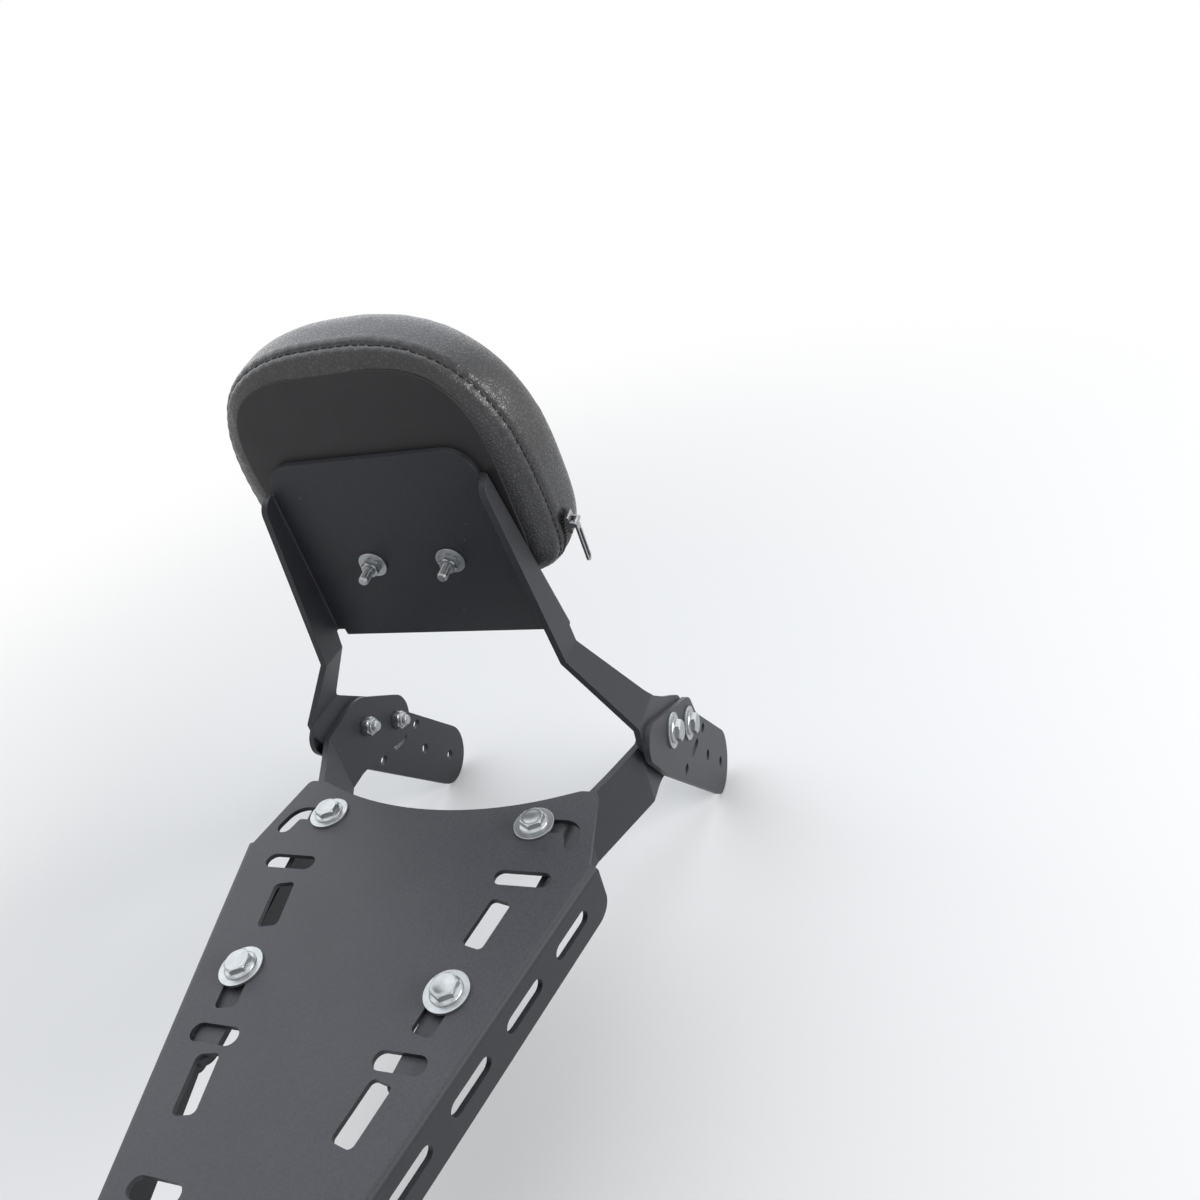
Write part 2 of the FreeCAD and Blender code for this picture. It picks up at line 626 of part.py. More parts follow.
def deck_slots():
    """Right-hand slots of the deck: corner slot, cross slots and square strap slots."""
    width = size("slot_width")
    strap_two_half = rear_bolt_half - (size("strap_two_back") - size("deck_bolt_pitch")) * tan("strap_tilt")
    bolt = size("deck_bolt_half")
    corner_x = bolt + size("corner_slot_run")
    nose_run = (size("deck_half") - size("deck_nose_half")) / (size("flange_start") + size("deck_nose_y"))
    back = size("corner_slot_back")
    slots = [folded_strip([(bolt - width / 2, width / 2), (corner_x, width / 2),
                           (corner_x + back * nose_run, width / 2 - back)],
                          width, size("slot_elbow"), width / 2)]
    for half, behind, length in ((size("cross_one_half"), size("cross_one_back"), size("cross_one_long")),
                                 (size("cross_two_half"), size("cross_two_back"), size("cross_two_long")),
                                 (size("cross_three_half"), size("cross_three_back"),
                                  size("cross_two_long"))):
        slots.append(slot_outline(half, -behind, length, width))
    for half, behind in ((size("strap_one_half"), size("strap_one_back")),
                         (strap_two_half, size("strap_two_back")),
                         (size("strap_three_half"), size("strap_three_back"))):
        slots.append(slot_outline(half, -behind, size("strap_slot"), size("strap_width"),
                                  90 - size("strap_tilt"), size("strap_corner")))
    return slots


def rack_deck():
    body = new_body("rack_deck")
    pad(body, sketch_on(body, "XY_Plane", [deck_outline()]), bound("deck_sheet"), backward=True)
    slant = math.cos(math.radians(size("deck_taper")))
    inward = size("deck_sheet") / slant
    start, end = flange_ends()
    flange = [
        (deck_side(start) - inward, start, 0),
        (deck_side(end) - inward, end, 0),
        (deck_side(end), end, 0),
        (deck_side(start), start, 0),
    ]
    pad(body, sketch_on(body, "XY_Plane", [flange, mirrored(flange)]), bound("flange_drop"), backward=True)
    for radius, height, inset in (("Sizes.fold_radius", deck_under, inward),
                                  ("Sizes.fold_radius + Sizes.deck_sheet", 0, 0)):
        round_edges(body, radius, lambda edge, middle: (
            abs(middle.z - height) < 0.01 and edge.Length > size("deck_bolt_pitch")
            and abs(abs(middle.x) - deck_side(middle.y) + inset) < 0.1))
    round_edges(body, bound("flange_corner"), lambda edge, middle: (
        abs(middle.z + size("flange_drop")) < 0.01 and edge.Length < 2 * size("deck_sheet")))
    slots = deck_slots()
    cut_through(body, sketch_on(body, "XY_Plane", slots + [mirrored(slot) for slot in slots]))
    side_plane = FreeCAD.Placement(FreeCAD.Vector(-size("flange_start"), 0, size("deck_half")),
                                   FreeCAD.Rotation(FreeCAD.Vector(0, 1, 0), -size("deck_taper")))
    row = []
    for index in range(4):
        along = size("flange_slot_first") + index * size("flange_slot_pitch")
        row.append(slot_outline(-along, -size("flange_drop") / 2, size("flange_slot"), size("slot_width")))
    doc.recompute()
    before = body.Shape.Volume
    pocket = body.newObject("PartDesign::Pocket", "flange_slots")
    pocket.Profile = sketch_on(body, "YZ_Plane", row, side_plane)
    pocket.setExpression("Length", "4 * Sizes.deck_sheet")
    pocket.SideType = "Symmetric"
    doc.recompute()
    if body.Shape.Volume >= before:
        raise RuntimeError("the flange slots cut nothing")
    middle = next(item for item in body.Origin.OriginFeatures if item.Role == "YZ_Plane")
    both = body.newObject("PartDesign::Mirrored", "flange_slots_both_sides")
    both.Originals = [pocket]
    both.MirrorPlane = (middle, [""])
    body.Tip = both
    finish_node(body)


# Fasteners

def hexagon(flats):
    """Hexagon about the axis with the given width across its flats."""
    corner = flats / math.sqrt(3)
    return [(corner * math.cos(math.radians(60 * i)), corner * math.sin(math.radians(60 * i)), 0)
            for i in range(6)]


def turned(body, feature_type, corners):
    """Turns an outline, drawn as radius and height, about the body's Z axis."""
    sketch = sketch_on(body, "XZ_Plane", [corners])
    feature = body.newObject("PartDesign::" + feature_type, body.Label + "_turned")
    feature.Profile = sketch
    feature.ReferenceAxis = (sketch, ["V_Axis"])
    feature.Angle = 360
    return feature


def bevel_corners(body, flats, height):
    """Turns the sharp corners off the top of a hexagon."""
    doc.recompute()
    reach = flats / math.sqrt(3) + 1
    drop = (reach - flats / 2) * math.tan(math.radians(30))
    turned(body, "Groove", [(flats / 2, height, 0), (reach, height - drop, 0), (reach, height + 1, 0)])


def flanged_bolt(label, length):
    """Flanged hexagon bolt: seat at z = 0, head above it, shank below."""
    body = new_body(label)
    bevel = size("bevel")
    thread = size("clamp_thread")
    flats = size("clamp_flats")
    flange = size("clamp_flange")
    flange_thick = size("clamp_flange_thick")
    turned(body, "Revolution", [(0, -length, 0), (thread - bevel, -length, 0), (thread, bevel - length, 0),
                                (thread, 0, 0), (flange, 0, 0), (flange, flange_thick / 2, 0),
                                (flats / 2, flange_thick, 0), (0, flange_thick, 0)])
    pad(body, sketch_on(body, "XY_Plane", [hexagon(flats)]), bound("clamp_head"))
    bevel_corners(body, flats, size("clamp_head"))
    return body


def nut_piece(label, thread, flats, height, collar):
    """Hexagon nut on z = 0 with a collar of the given height above its hexagon."""
    body = new_body(label)
    pad(body, sketch_on(body, "XY_Plane", [hexagon(flats)]), f"{bound(height)} - {collar}")
    bevel_corners(body, flats, size(height) - collar)
    if collar:
        top = size(height) - collar
        bevel = size("bevel")
        collar_radius = flats / 2 - bevel
        turned(body, "Revolution", [(0, top, 0), (collar_radius, top, 0),
                                    (collar_radius, size(height) - bevel, 0),
                                    (collar_radius - bevel, size(height), 0), (0, size(height), 0)])
    cut_through(body, circles_on(body, "XY_Plane", [(0, 0)], f"{bound(thread)} + Sizes.thread_play"))
    return body


def washer_piece(label, hole, outside, thickness):
    body = new_body(label)
    pad(body, circles_on(body, "XY_Plane", [(0, 0)], bound(outside)), bound(thickness))
    cut_through(body, circles_on(body, "XY_Plane", [(0, 0)], f"{bound(hole)} + Sizes.hole_play"))
    return body


def group(label, piece, places):
    """One node of equal fasteners, each a linked copy of the piece."""
    doc.recompute()
    links = []
    for place in places:
        link = doc.addObject("App::Link", label + "_copy")
        link.LinkedObject = piece
        link.LinkPlacement = place
        links.append(link)
    compound = doc.addObject("Part::Compound", label)
    compound.Label = label
    compound.Links = links
    finish_node(compound)


def facing(axis, point):
    """Placement that turns a fastener's +Z to an axis and its seat to a point."""
    return FreeCAD.Placement(FreeCAD.Vector(*point), FreeCAD.Rotation(FreeCAD.Vector(0, 0, 1),
                                                                       FreeCAD.Vector(*axis)))


def clamp_fasteners():
    """M8 bolts, washers and lock nuts: four through the side plates and four through the deck."""
    washer = size("clamp_washer_thick")
    beyond = size("clamp_nut") + size("clamp_past_nut")
    side_bolt = flanged_bolt("side_bolt", washer + 3 * plate + beyond)
    deck_bolt = flanged_bolt("deck_bolt", washer + size("deck_sheet") + plate + beyond)
    nut = nut_piece("lock_nut", "clamp_thread", size("clamp_flats"), "clamp_nut", size("nut_collar"))
    ring = washer_piece("large_washer", "clamp_thread", "clamp_washer", "clamp_washer_thick")
    sides = [(side, y, z) for side in (1, -1) for y, z in clamp_bolts]
    group("clamp_bolts", side_bolt, [facing((side, 0, 0), (side * (bracket_outer + washer), y, z))
                                     for side, y, z in sides])
    group("clamp_washers", ring, [facing((side, 0, 0), (side * bracket_outer, y, z)) for side, y, z in sides])
    group("clamp_nuts", nut, [facing((-side, 0, 0), (side * lobe_inner, y, z)) for side, y, z in sides])
    group("deck_bolts", deck_bolt, [facing((0, 0, 1), (x, y, washer)) for x, y in deck_bolts])
    group("deck_washers", ring, [facing((0, 0, 1), (x, y, 0)) for x, y in deck_bolts])
    group("deck_nuts", nut, [facing((0, 0, -1), (x, y, deck_under - plate)) for x, y in deck_bolts])


# Pad

board_front = plate + size("back_sheet") + size("board_thick")


def pad_outline(inset):
    """Outline of the pad on the upright, drawn in by an inset."""
    half = size("pad_half") - inset
    top = size("pad_up") - inset
    bottom = inset - size("pad_down")
    right = [
        (half, bottom, size("pad_foot") - min(inset, size("pad_foot") / 2)),
        (half, top - size("pad_crown"), size("pad_shoulder") - inset),
    ]
    return right + [(0, top, size("crown_radius"))] + mirrored(right)


def pad_cushion():
    body = new_body("backrest_pad")
    back = upright_offset(plate)
    pad(body, sketch_on(body, "XZ_Plane", [pad_outline(0)], back), bound("pad_depth"), backward=True)
    normal = upright_point(0, 0, 1) - upright_point(0, 0, 0)
    for radius, forward in (("Sizes.pad_front_round", plate + size("pad_depth")),
                            ("Sizes.pad_back_round", plate)):
        round_edges(body, radius, lambda edge, middle: (
            abs((middle - upright_point(0, 0, forward)).dot(normal)) < 0.01))
    for inset, depth in ((size("back_inset"), "Sizes.back_sheet"),
                         (size("board_inset"), "Sizes.back_sheet + Sizes.board_thick")):
        doc.recompute()
        before = body.Shape.Volume
        pocket = body.newObject("PartDesign::Pocket", "pad_recess")
        pocket.Profile = sketch_on(body, "XZ_Plane", [pad_outline(inset)], back)
        pocket.setExpression("Length", depth)
        doc.recompute()
        if body.Shape.Volume >= before:
            raise RuntimeError("the pad's recess cut nothing")
    finish_node(body)


def pad_sheet(label, inset, forward, thickness, hole):
    """Flat sheet inside the pad with two stud holes."""
    body = new_body(label)
    pad(body, sketch_on(body, "XZ_Plane", [pad_outline(inset)], upright_offset(forward)),
        thickness, backward=True)
    cut_through(body, circles_on(body, "XZ_Plane", stud_places, hole, upright_offset(forward)))
    finish_node(body)


def stud_fasteners():
    """M6 studs that end inside the base board, with a washer and a nut behind the upright."""
    washer = size("stud_washer_thick")
    behind = washer + size("stud_nut") + size("stud_past_nut")
    thread = size("stud_thread")
    bevel = size("bevel")
    stud = new_body("pad_stud")
    front = bevel - board_front
    turned(stud, "Revolution", [(0, front, 0), (thread, front, 0), (thread, behind - bevel, 0),
                                (thread - bevel, behind, 0), (0, behind, 0)])
    ring = washer_piece("stud_washer", "stud_thread", "stud_washer", "stud_washer_thick")
    nut = nut_piece("stud_nut", "stud_thread", size("stud_flats"), "stud_nut", 0)
    rearward = upright_point(0, 0, -1) - upright_point(0, 0, 0)
    for label, piece, back in (("pad_studs", stud, 0), ("pad_washers", ring, 0), ("pad_nuts", nut, washer)):
        group(label, piece, [facing(rearward, upright_point(x, up, -back)) for x, up in stud_places])


# Zip

zip_middle = plate + size("zip_inset")
zip_face = size("pad_half") + size("zip_proud")
bail_x = zip_face + size("slider_thick") + size("bail_rise")
bail_up = size("zip_up") - size("slider_long") / 2
side_view = FreeCAD.Placement(FreeCAD.Vector(size("stud_y"), size("stud_z"), 0),
                              FreeCAD.Rotation(FreeCAD.Vector(0, 0, 1), size("lean")))


def zip_chain():
    body = new_body("zip_chain")
    proud = size("zip_proud")
    half = size("pad_half")
    low = -size("pad_down")
    chain = [
        (-half - proud, size("zip_up"), 0),
        (-half - proud, low - proud, size("pad_foot") + proud),
        (half + proud, low - proud, size("pad_foot") + proud),
        (half + proud, size("zip_up"), 0),
        (half, size("zip_up"), 0),
        (half, low, size("pad_foot")),
        (-half, low, size("pad_foot")),
        (-half, size("zip_up"), 0),
    ]
    start = upright_offset(zip_middle - size("zip_wide") / 2)
    pad(body, sketch_on(body, "XZ_Plane", [chain], start), bound("zip_wide"), backward=True)
    finish_node(body)


def zip_slider():
    """Slider on the teeth with two ears that hold the crossbar of the pull."""
    body = new_body("zip_slider")
    wide = size("slider_wide")
    ear = size("pull_rim")
    base = slot_outline(zip_face + size("slider_thick") / 2, bail_up, size("slider_thick"),
                        size("slider_long"), 0, size("bevel"))
    first = zip_middle - wide / 2
    pad(body, sketch_on(body, "XZ_Plane", [base], upright_offset(first)), bound("slider_wide"), backward=True)
    ear_wall = size("ear_wall")
    ear_radius = size("bail_radius") + ear_wall
    foot = zip_face + size("slider_thick") / 2
    ear_outline = [
        (bail_x, bail_up, ear_radius, "round"),
        (foot, bail_up + ear_radius + ear_wall, 0),
        (foot, bail_up - ear_radius - ear_wall, 0),
    ]
    for forward in (first, first + wide - ear):
        pad(body, sketch_on(body, "XZ_Plane", [ear_outline], upright_offset(forward)),
            bound("pull_rim"), backward=True)
    bar = circles_on(body, "XZ_Plane", [(bail_x, bail_up)], bound("bail_radius"), upright_offset(first))
    pad(body, bar, bound("slider_wide"), backward=True)
    finish_node(body)


def zip_pull():
    """Long loop that hangs from the slider's crossbar by a barrel."""
    body = new_body("zip_pull")
    wide = size("pull_wide")
    long = size("pull_long")
    at_bail = side_view.multiply(FreeCAD.Placement(FreeCAD.Vector(0, 0, bail_x), FreeCAD.Rotation()))
    blade = slot_outline(zip_middle, bail_up - long / 2, wide, long, 0, wide / 2)
    pad(body, sketch_on(body, "YZ_Plane", [blade], at_bail), bound("pull_thick"), both_ways=True)
    barrel = circles_on(body, "XZ_Plane", [(bail_x, bail_up)],
                        "Sizes.bail_radius + Sizes.pull_play + Sizes.pull_rim / 2",
                        upright_offset(zip_middle))
    pad(body, barrel, bound("pull_wide"), both_ways=True)
    cut_through(body, circles_on(body, "XZ_Plane", [(bail_x, bail_up)],
                                 "Sizes.bail_radius + Sizes.pull_play", upright_offset(zip_middle)))
    loop_long = long - 2 * size("pull_rim") - size("pull_head")
    loop = slot_outline(zip_middle, bail_up - long + size("pull_rim") + loop_long / 2,
                        wide - 2 * size("pull_rim"), loop_long, 0, wide / 2 - size("pull_rim"))
    cut_through(body, sketch_on(body, "YZ_Plane", [loop], at_bail))
    finish_node(body)


upright()
for side, name in ((1, "right"), (-1, "left")):
    fender_bracket(side, "fender_bracket_" + name)
    rack_leg(side, "rack_leg_" + name)
rack_deck()
clamp_fasteners()
pad_cushion()
pad_sheet("pad_back_panel", size("back_inset"), plate, "Sizes.back_sheet",
          "Sizes.stud_thread + Sizes.hole_play")
pad_sheet("pad_base_board", size("board_inset"), plate + size("back_sheet"), "Sizes.board_thick",
          "Sizes.stud_thread + Sizes.thread_play")
stud_fasteners()
zip_chain()
zip_slider()
zip_pull()

doc.recompute()
for item in doc.Objects:
    if "Invalid" in item.State or "Error" in item.State:
        raise RuntimeError(f"{item.Label} failed: {item.State}")
os.makedirs("parts", exist_ok=True)
for node in nodes:
    if node.Shape.isNull() or not node.Shape.isValid():
        raise RuntimeError(f"{node.Label} has no valid shape")
    print(node.Label, len(node.Shape.Solids), round(node.Shape.Volume), node.Shape.BoundBox)
    node.Shape.exportStep(f"parts/{node.Label}.step")
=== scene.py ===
"""Looks of a motorbike backrest with a luggage rack, built round its fixed CAD frame."""

import math

import bmesh
import bpy
from mathutils import Matrix, Vector
from mathutils.bvhtree import BVHTree
from mathutils.kdtree import KDTree

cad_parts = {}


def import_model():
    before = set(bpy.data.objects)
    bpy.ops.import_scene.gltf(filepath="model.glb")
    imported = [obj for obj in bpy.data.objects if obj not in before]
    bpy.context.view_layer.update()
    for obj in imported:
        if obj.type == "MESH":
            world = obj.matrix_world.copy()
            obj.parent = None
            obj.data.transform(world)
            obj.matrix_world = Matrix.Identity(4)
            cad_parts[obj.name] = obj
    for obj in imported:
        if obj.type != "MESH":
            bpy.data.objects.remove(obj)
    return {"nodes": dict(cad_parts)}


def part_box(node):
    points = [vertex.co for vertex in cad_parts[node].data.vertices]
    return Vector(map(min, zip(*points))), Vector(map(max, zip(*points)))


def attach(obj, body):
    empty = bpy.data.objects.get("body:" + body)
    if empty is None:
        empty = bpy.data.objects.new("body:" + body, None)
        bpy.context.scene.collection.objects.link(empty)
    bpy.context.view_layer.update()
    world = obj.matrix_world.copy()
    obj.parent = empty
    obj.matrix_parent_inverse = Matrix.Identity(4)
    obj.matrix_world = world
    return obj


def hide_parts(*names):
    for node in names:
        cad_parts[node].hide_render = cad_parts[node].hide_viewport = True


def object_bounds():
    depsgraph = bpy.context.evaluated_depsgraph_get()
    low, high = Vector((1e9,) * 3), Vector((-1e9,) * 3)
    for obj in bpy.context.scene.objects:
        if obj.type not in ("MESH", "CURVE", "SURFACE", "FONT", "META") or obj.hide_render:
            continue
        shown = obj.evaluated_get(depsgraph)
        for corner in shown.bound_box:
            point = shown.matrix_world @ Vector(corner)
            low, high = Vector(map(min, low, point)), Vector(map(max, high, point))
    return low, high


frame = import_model()
cad_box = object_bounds()

MM = 0.001

# The pad is measured in millimetres across, up and forward of the upright's rear face at the studs.
LEAN = math.radians(10)
STUDS = Vector((0, -0.093, 0.238))
ACROSS = Vector((1, 0, 0))
UP = Vector((0, -math.sin(LEAN), math.cos(LEAN)))
FORWARD = Vector((0, math.cos(LEAN), math.sin(LEAN)))

# Sections of the pad from back to front: forward, half width, top, bottom, and how square the
# upper and lower halves are, as a superellipse's exponent: 2 is an ellipse, more is squarer.
PAD_MIDDLE = 28
PAD_SECTIONS = [
    (4.4, 65, 112, 5, 3.6, 6),
    (4.4, 77.5, 123.4, -11, 3.6, 6.5),
    (5.3, 81.4, 126.8, -15.5, 3.35, 6.5),
    (7.4, 85.8, 130.6, -20, 3.05, 6.3),
    (9.8, 89.2, 133.2, -23.5, 2.85, 6),
    (12.2, 91.8, 135, -25.8, 2.75, 5.5),
    (15.2, 93.8, 136.2, -27.8, 2.72, 4.9),
    (20.4, 95.4, 137, -29.3, 2.65, 4.4),
    (34, 97.4, 137.8, -30, 2.55, 4),
    (44, 95.8, 135.4, -28, 2.5, 4),
    (51, 90, 129.6, -22, 2.5, 3.7),
    (55.5, 81, 121, -13, 2.5, 3.4),
    (58, 68, 108, 0, 2.5, 3.2),
    (59, 50, 92, 12, 2.4, 3),
]
# Smooth panel on the pad's back: the same measures for its edge, and rings from its edge to its
# face as forward and share of its size.
BACK_PANEL = (4.4, 76, 123.4, -10.5, 3.7, 6.5)
BACK_PANEL_RINGS = [(6, 0.99), (5, 1), (4.5, 1), (4.25, 0.997), (4.1, 0.99), (4.05, 0.98),
                    (4.05, 0.8), (4.05, 0.5), (4.05, 0.2)]
PAD_RING_POINTS = 200
BACK_PANEL_POINTS = 160
PAD_VOXEL = 4.4

# Swelling of the cover over its foam: largest move, frames of the cloth run, rounds that even the
# moves out, and the strips on the flat back and beside the seam that hold.
PAD_SWELL = 5
SWELL_FRAMES = 20
EVENING_ROUNDS = 24
BACK_HOLD = 1.5
SEAM_HOLD = 7

# Seam round the pad: its depth above and behind the zip, and the height over which it changes
SEAM_FORWARD = 12
SEAM_LOW_FORWARD = 13
SEAM_CHANGE = 50
RIM_STEPS = 1440
LINE_SPACING = 1
# Groove of the seam, small puckers across it and the roll of the cover on both sides
GROOVE_DEPTH = 0.9
GROOVE_WIDTH = 1.1
PUCKER_HEIGHT = 0.16
PUCKER_SPACING = 8
PUCKER_REACH = 5
ROLL_HEIGHT = 0.35
ROLL_PLACE = 4
ROLL_WIDTH = 2
# The flat back stays free of these up to a depth, and they grow over a run from there.
FLAT_BACK_END = 4.8
FLAT_BACK_RUN = 3

STITCH_PITCH = 4
STITCH_LENGTH = 3
STITCH_SPACING = 0.5
STITCH_RADIUS = 0.4
STITCH_RISE = 0.3
STITCH_SINK = 0.12
STITCH_SIDES = 6

# Zip: depth of its line, height of its top stops, and the bed that it lies in
ZIP_FORWARD = 19.5
ZIP_TOP = 12
ZIP_BED_DEPTH = 1.5
ZIP_BED_HALF = 3.2
ZIP_BED_SLOPE = 1.8
# Section of a tape beside the line and above the cover
TAPE_SECTION = ((0.7, 0), (4.4, 0), (4.4, 0.35), (0.7, 0.45))
# A tooth: height and trim of its layers, its outline beside and along the line, in halves of its
# thickness, and the middle that the trim draws towards
TOOTH_PITCH = 1.15
TOOTH_LAYERS = ((0.2, 0), (0.9, 0), (1.25, 0.25))
TOOTH_OUTLINE = ((-0.5, -1), (2.1, -1), (2.1, 1), (-0.5, 1))
TOOTH_MIDDLE = 0.8
TOOTH_HALF = 0.42
TOOTH_END_TRIM = 3

# Soft edges of the CAD pieces
SHEET_EDGE = 0.45
WASHER_EDGE = 0.3
SLIDER_EDGE = 0.25
PULL_EDGE = 0.2
BOARD_EDGE = 4.3
SHARP_FOLD = math.radians(40)
WELD_REACH = 1e-6

# Angles past which shading breaks, in degrees
SHARP_METAL = 28
SHARP_PANEL = 50

# Fasteners: thread radius, thread pitch, width over the flats, and a thread's depth in pitches
M8_RADIUS = 4
M8_PITCH = 1.25
M8_FLATS = 13
M6_RADIUS = 3
M6_PITCH = 1
M6_FLATS = 10
THREAD_DEPTH = 0.6
CLAMP_BOLT_LENGTH = 24.8
DECK_BOLT_LENGTH = 19.8
BOLT_THREAD = 6
LOCK_NUT_HEIGHT = 8
STUD_NUT_HEIGHT = 5
STUD_SHANK_RADIUS = 2.9
STUD_THREAD = 20

# Camera of the photograph
CAMERA_PLACE = Vector((0.2918, -0.5088, 0.4818))
CAMERA_AIM = Vector((0.0874, -0.0388, 0.1698))
CAMERA_ROLL = math.radians(-14.8)
CAMERA_LENS = 28.01
SENSOR_WIDTH = 36


def on_upright(across, up, forward):
    """Point in the scene from measures in millimetres on the upright."""
    return STUDS + (ACROSS * across + UP * up + FORWARD * forward) * MM


def between(low, high, share):
    """Value at a share of the way from low to high."""
    return low + (high - low) * share


def eased(share):
    """Smooth step from 0 to 1."""
    share = min(max(share, 0), 1)
    return share * share * (3 - 2 * share)


# Node helpers

def add(tree, kind, **settings):
    """Adds a node; each setting is an input's value, or a property where no input has that name."""
    node = tree.nodes.new(kind)
    for name, value in settings.items():
        label = name.replace("_", " ")
        if label in node.inputs:
            node.inputs[label].default_value = value
        else:
            setattr(node, name, value)
    return node


def link(tree, source, target):
    tree.links.new(source, target)


def new_group(name, inputs, outputs):
    """Empty shader node group with named value sockets: its tree, its inlet and its outlet."""
    tree = bpy.data.node_groups.new(name, "ShaderNodeTree")
    for label, value in inputs.items():
        socket = tree.interface.new_socket(label, in_out="INPUT", socket_type="NodeSocketFloat")
        socket.default_value = value
    for label in outputs:
        tree.interface.new_socket(label, in_out="OUTPUT", socket_type="NodeSocketFloat")
    return tree, tree.nodes.new("NodeGroupInput"), tree.nodes.new("NodeGroupOutput")


def place_group(tree, group, **values):
    """Puts a node group into a tree and sets its inputs."""
    node = tree.nodes.new("ShaderNodeGroup")
    node.node_tree = group
    for name, value in values.items():
        node.inputs[name.replace("_", " ")].default_value = value
    return node


def new_material(name, **constants):
    """Material with constants on its shader: the material, its tree and its shader."""
    material = bpy.data.materials.new(name)
    material.use_nodes = True
    shader = material.node_tree.nodes["Principled BSDF"]
    for label, value in constants.items():
        shader.inputs[label.replace("_", " ")].default_value = value
    return material, material.node_tree, shader


def shade(tree, value, target, dark, light):
    """Feeds a colour socket with a blend from dark to light."""
    ramp = add(tree, "ShaderNodeValToRGB")
    ramp.color_ramp.elements[0].color = (*dark, 1)
    ramp.color_ramp.elements[1].color = (*light, 1)
    link(tree, value, ramp.inputs["Fac"])
    link(tree, ramp.outputs["Color"], target)
    return ramp


def spread(tree, value, target, low, high):
    """Feeds a value socket with a value that runs from low to high."""
    span = add(tree, "ShaderNodeMapRange", To_Min=low, To_Max=high)
    link(tree, value, span.inputs["Value"])
    link(tree, span.outputs["Result"], target)


def raised(tree, value, mask, share):
    """A value with a share of a mask added, kept between 0 and 1."""
    total = add(tree, "ShaderNodeMath", operation="MULTIPLY_ADD", use_clamp=True)
    total.inputs[1].default_value = share
    link(tree, mask, total.inputs[0])
    link(tree, value, total.inputs[2])
    return total.outputs["Value"]


def emboss(tree, shader, height, strength, depth):
    """Bumps a shader's surface by a height; depth is in millimetres."""
    bump = add(tree, "ShaderNodeBump", Strength=strength, Distance=depth * MM)
    link(tree, height, bump.inputs["Height"])
    link(tree, bump.outputs["Normal"], shader.inputs["Normal"])


# Effects that several finishes share

def blotch_group():
    """Slow uneven tone over a surface and a fine grain in it."""
    tree, inlet, outlet = new_group("blotches", {"Patch Scale": 18, "Grain Scale": 1300},
                                    ["Patches", "Grain"])
    place = add(tree, "ShaderNodeTexCoord")
    patches = add(tree, "ShaderNodeTexNoise", Detail=4, Roughness=0.6)
    grain = add(tree, "ShaderNodeTexNoise", Detail=3, Roughness=0.7)
    for noise, label, result in ((patches, "Patch Scale", "Patches"),
                                 (grain, "Grain Scale", "Grain")):
        link(tree, place.outputs["Object"], noise.inputs["Vector"])
        link(tree, inlet.outputs[label], noise.inputs["Scale"])
        link(tree, noise.outputs["Fac"], outlet.inputs[result])
    return tree


def dust_and_sheen_group():
    """Sparse pale specks of dust, and a film on faces that look up: settled dust and a painted
    sheen of the sky's light.
    """
    tree, inlet, outlet = new_group("dust_and_sheen", {"Spacing Scale": 90, "Radius": 0.05},
                                    ["Specks", "Sheen Film"])
    place = add(tree, "ShaderNodeTexCoord")
    cells = add(tree, "ShaderNodeTexVoronoi", feature="F1")
    link(tree, place.outputs["Object"], cells.inputs["Vector"])
    link(tree, inlet.outputs["Spacing Scale"], cells.inputs["Scale"])
    near = add(tree, "ShaderNodeMath", operation="LESS_THAN")
    link(tree, cells.outputs["Distance"], near.inputs[0])
    link(tree, inlet.outputs["Radius"], near.inputs[1])
    link(tree, near.outputs["Value"], outlet.inputs["Specks"])
    # Painted sheen with settled dust: the film grows on faces that look up, where the sky's light
    # falls.
    geometry = add(tree, "ShaderNodeNewGeometry")
    facing = add(tree, "ShaderNodeSeparateXYZ")
    link(tree, geometry.outputs["Normal"], facing.inputs["Vector"])
    level = add(tree, "ShaderNodeMapRange", From_Min=0.6, interpolation_type="SMOOTHSTEP")
    link(tree, facing.outputs["Z"], level.inputs["Value"])
    drift = add(tree, "ShaderNodeTexNoise", Scale=30, Detail=3)
    link(tree, place.outputs["Object"], drift.inputs["Vector"])
    sheen_film = add(tree, "ShaderNodeMath", operation="MULTIPLY")
    link(tree, level.outputs["Result"], sheen_film.inputs[0])
    spread(tree, drift.outputs["Fac"], sheen_film.inputs[1], 0.75, 1)
    link(tree, sheen_film.outputs["Value"], outlet.inputs["Sheen Film"])
    return tree


def worn_edge_group():
    """Mask of sharp edges, broken up by noise."""
    tree, inlet, outlet = new_group("worn_edges", {"Reach": 0.0006}, ["Worn"])
    rounded = add(tree, "ShaderNodeBevel", samples=4)
    link(tree, inlet.outputs["Reach"], rounded.inputs["Radius"])
    geometry = add(tree, "ShaderNodeNewGeometry")
    likeness = add(tree, "ShaderNodeVectorMath", operation="DOT_PRODUCT")
    link(tree, rounded.outputs["Normal"], likeness.inputs[0])
    link(tree, geometry.outputs["Normal"], likeness.inputs[1])
    edge = add(tree, "ShaderNodeMapRange", From_Min=0.99, From_Max=0.85)
    link(tree, likeness.outputs["Value"], edge.inputs["Value"])
    place = add(tree, "ShaderNodeTexCoord")
    breaks = add(tree, "ShaderNodeTexNoise", Scale=160, Detail=3)
    link(tree, place.outputs["Object"], breaks.inputs["Vector"])
    worn = add(tree, "ShaderNodeMath", operation="MULTIPLY")
    link(tree, edge.outputs["Result"], worn.inputs[0])
    link(tree, breaks.outputs["Fac"], worn.inputs[1])
    link(tree, worn.outputs["Value"], outlet.inputs["Worn"])
    return tree


